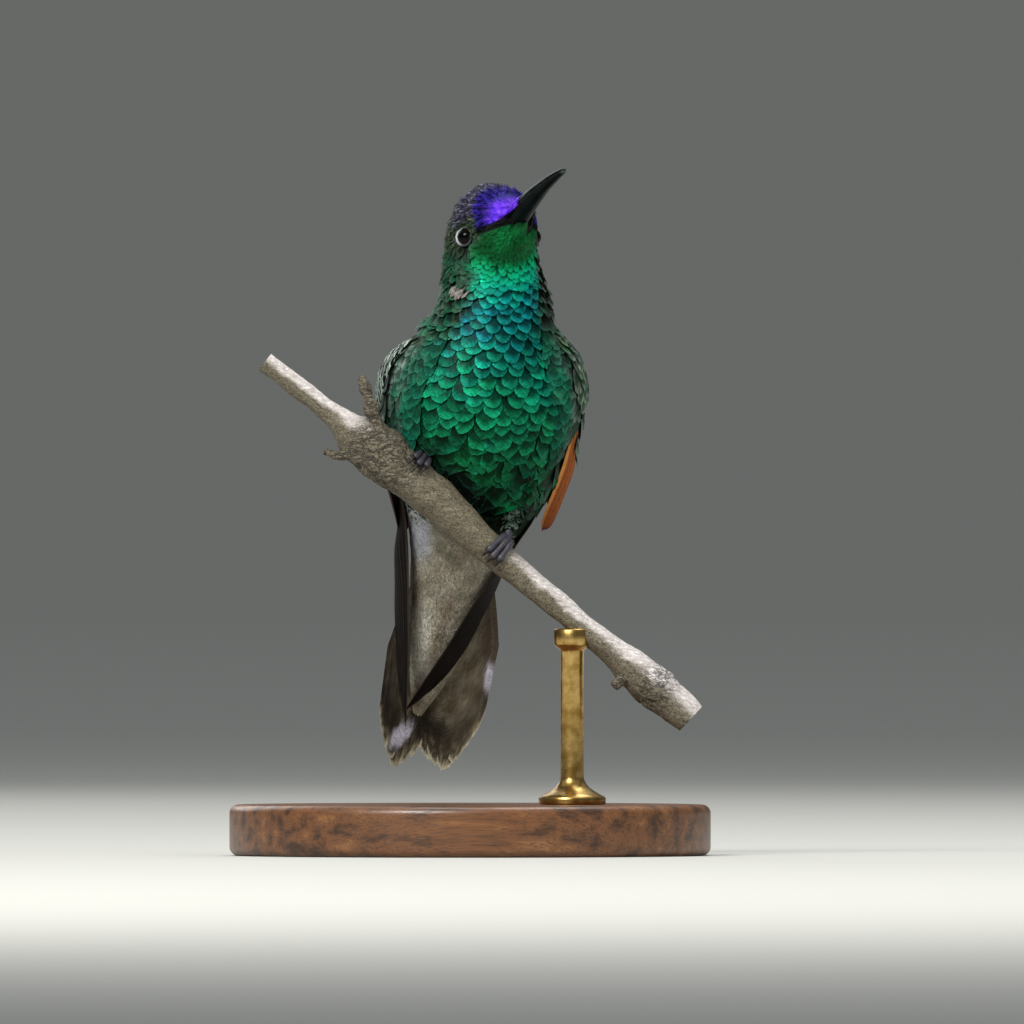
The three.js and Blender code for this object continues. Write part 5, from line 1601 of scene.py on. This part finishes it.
shapes = []
for half_sign in (1, -1):
    net = tail_net(half_sign)
    for k in range(5):
        near, far = sorted((half_sign * (k / 5 - 0.09), half_sign * ((k + 1) / 5 + 0.05)))
        shapes.append(blade(
            net, (near, far), (1.0, 0.01 + 0.01 * (k % 2)), -0.15 + 0.07 * k, tail_paint(k),
            shaft=0.35 * half_sign, blunt=0.05, ragged=0.007, seed=70 + k, tilt=0.02 * half_sign,
            rows=40, cols=15, neck=1.0, thick=0.06,
        ))
for shape in shapes:  # all of them on one map, as they lie
    u, v = (shape["points"][:, 0] + 14) / 20, (shape["points"][:, 2] - 10) / 36
    shape["bake"] = np.stack([0.05 + 0.9 * u, 0.05 + 0.9 * v], -1).clip(0, 1)
add_piece("tail_feathers", shapes, flight, "tail_feathers", "tail")

# ---- Feet ---------------------------------------------------------------------------------
# Small dusky feet: three toes forward and one back round the branch, each with a row of scutes
# over its top, soft pads under its joints, and a sharp curved black claw.

TOE_RADIUS, CLAW_RADIUS, CLAW_FROM, SCUTES, JOINTS = 0.50, 0.27, 0.78, 17, 5


def toe_shape(row, start, end, spread):
    """A toe curled round the branch from angle start to end: its last part is the claw."""
    t = np.linspace(0, 1, 110)
    turn = circle(16)
    scute = np.abs(np.sin(t * np.pi * SCUTES))
    skin_radius = TOE_RADIUS * (1 + 0.16 * np.cos(t * np.pi * JOINTS)) * (0.94 + 0.03 * scute**0.5)
    claw_t = np.clip((t - CLAW_FROM) / (1 - CLAW_FROM), 0, 1)
    thick = np.where(t < CLAW_FROM, skin_radius, CLAW_RADIUS * (1 - claw_t) ** 0.7 + 0.03)
    middle, *_, branch_radius = branch_frame(np.array(row))
    lift = thick * 0.8 + 0.12 + 0.35 * np.sin(claw_t * np.pi) * (1 - 0.4 * claw_t)
    angle = start + (end - start) * t
    line = beside_branch(np.full(110, row), angle, branch_radius + lift, spread * (0.2 + 0.8 * t**0.8))
    way = unit(np.gradient(line, axis=0))
    side = unit(np.cross(way, line - middle))
    spoke = spokes(side[:, None] * 0.92, np.cross(side, way)[:, None], turn)
    shape = tube(line[:, None] + spoke * thick[:, None, None] + GRIP)
    is_claw = np.append(np.repeat(ease(t, 0.76, 0.80), 16), [0, 1])
    # Painted highlight and shade: lighter on the scutes and the toe's outer side, darker between scutes and
    # against the branch.
    over = 0.35 + 0.65 * ease(np.sin(turn), -0.5, 0.9)
    ridge = np.append(((0.55 + 0.45 * scute**0.7)[:, None] * over).ravel(), [0, 0])
    shape["tint"] = blend(blend("0c0b0e", "403e47", ridge), "0c0b0c", is_claw)
    return shape


def foot_shapes(side):
    """One foot: its four toes, the ankle they meet in and the bare shank above."""
    row, spread, reach, _ = LEGS[side].values()
    toes = [toe_shape(row, ANKLE_ANGLE, reach - 10 * abs(k), k * spread) for k in (-1, 0, 1)]
    toes.append(toe_shape(row, ANKLE_ANGLE, HALLUX_ANGLE, 0.0))
    above, turn = sheet(np.linspace(-0.5, SHANK + 1.2, 60), circle(18))
    radius = np.interp(above, [-0.5, 0.0, 0.8, SHANK, SHANK + 1.2], [0.45, 0.66, 0.5, 0.5, 0.62])
    radius = radius * (0.95 + 0.07 * np.abs(np.sin(above * 6)) ** 0.5)
    shank = tube(leg_point(side, above, radius, turn)[0] + GRIP)
    shank["tint"] = np.tile(linear("3f3c46"), (len(shank["points"]), 1))
    return toes + [shank]


def foot_finish():
    """Dusky violet-grey skin, lighter on the scutes and darker between them as painted highlight and shade;
    black claws.
    """
    foot = Finish("scuted_skin")
    grain = foot.noise(foot.place(), 5.0, 3.0)
    shade = foot.ramp(grain, (0.3, 0.35), (0.7, 1.0))
    return foot.surface(
        Base_Color=foot.mix(0.5, foot.markings(), shade, blend="MULTIPLY"),
        Roughness=0.42 + grain * 0.15,
        Normal=foot.bump(grain, 0.03, 0.5),
    )


scuted = foot_finish()
for side in ("left", "right"):
    add_piece(f"foot_{side}_toes", foot_shapes(side), scuted, "leg_skin", f"foot_{side}")

# ---- Studio -------------------------------------------------------------------------------
# A pale floor that rises into a round backdrop, soft panels of light, and a level long lens.


def studio_floor():
    """A pale dish: a flat floor whose rim sweeps up all round, far beyond the lights."""
    radius = np.array([0.0, 0.3, 1.0, 3.0, 5.5, 6.6, 7.4, 7.9, 8.0, 8.0]) * 1000
    height = np.array([0.0, 0.0, 0.0, 0.0, 0.02, 0.3, 0.9, 1.9, 3.4, 5.0]) * 1000
    angle = circle(96)
    x, y = radius[:, None] * np.cos(angle), radius[:, None] * np.sin(angle)
    points = np.stack([x, y, np.broadcast_to(height[:, None], x.shape)], -1).reshape(-1, 3)
    index = np.arange(len(points)).reshape(len(radius), -1)
    ahead = np.roll(index, -1, axis=1)
    faces = np.stack([index[:-1], ahead[:-1], ahead[1:], index[1:]], -1).reshape(-1, 4)
    mesh = bpy.data.meshes.new("studio_floor")
    mesh.from_pydata((points * MM).tolist(), [], faces.tolist())
    mesh.polygons.foreach_set("use_smooth", np.ones(len(faces), bool))
    paper = Finish("pale_paper")
    mesh.materials.append(paper.surface(Base_Color="b4b4ae", Roughness=0.85))
    floor = bpy.data.objects.new("studio_floor", mesh)
    bpy.context.scene.collection.objects.link(floor)


def panel(name, place, aim, size, watts, colour, glints=True):
    """A square soft light at place, in metres, that looks at aim. glints lets it show in gloss."""
    lamp = bpy.data.lights.new(name, "AREA")
    lamp.size, lamp.energy, lamp.color = size, watts, colour
    panel_object = bpy.data.objects.new(name, lamp)
    panel_object.location = place
    way = np.array(aim) - np.array(place)
    panel_object.rotation_euler = Vector(way).to_track_quat("-Z", "Y").to_euler()
    panel_object.visible_camera = False
    panel_object.visible_glossy = glints
    bpy.context.scene.collection.objects.link(panel_object)


studio_floor()
middle = (0.0, 0.0, 0.05)
panel("key_light", (-0.45, -0.75, 0.75), middle, 0.5, 12.5, (1.0, 0.98, 0.95))
panel("spark_light", (-0.43, -0.72, 0.72), middle, 0.1, 1.5, (1.0, 0.98, 0.95))
panel("fill_light", (0.8, -0.7, 0.35), middle, 0.7, 5.5, (0.95, 0.98, 1.0), glints=False)
panel("top_light", (0.1, 0.25, 1.0), middle, 0.6, 7.0, (1.0, 1.0, 1.0))
panel("back_light", (-0.5, 0.9, 0.5), middle, 0.6, 2.5, (1.0, 0.99, 0.97))

world = bpy.data.worlds.new("studio_air")
world.use_nodes = True
world.node_tree.nodes["Background"].inputs["Color"].default_value = (0.86, 0.9, 0.95, 1.0)
world.node_tree.nodes["Background"].inputs["Strength"].default_value = 0.45
bpy.context.scene.world = world
bpy.context.scene.view_settings.view_transform = "Standard"

# The lens looks level at the bird's shoulders, from far enough off to flatten it.
VIEW_WIDTH = 0.1403  # across the picture, at the bird
VIEW_DISTANCE = 5.0
lens = bpy.data.cameras.new("long_lens")
lens.sensor_width = 36.0
lens.lens = lens.sensor_width * VIEW_DISTANCE / VIEW_WIDTH
lens.clip_start, lens.clip_end = 0.05, 50.0
camera = bpy.data.objects.new("long_lens", lens)
camera.location = (0.00575, GRIP[1] * MM - VIEW_DISTANCE, 0.0471)
camera.rotation_euler = (np.pi / 2, 0, 0)
bpy.context.scene.collection.objects.link(camera)
bpy.context.scene.camera = camera
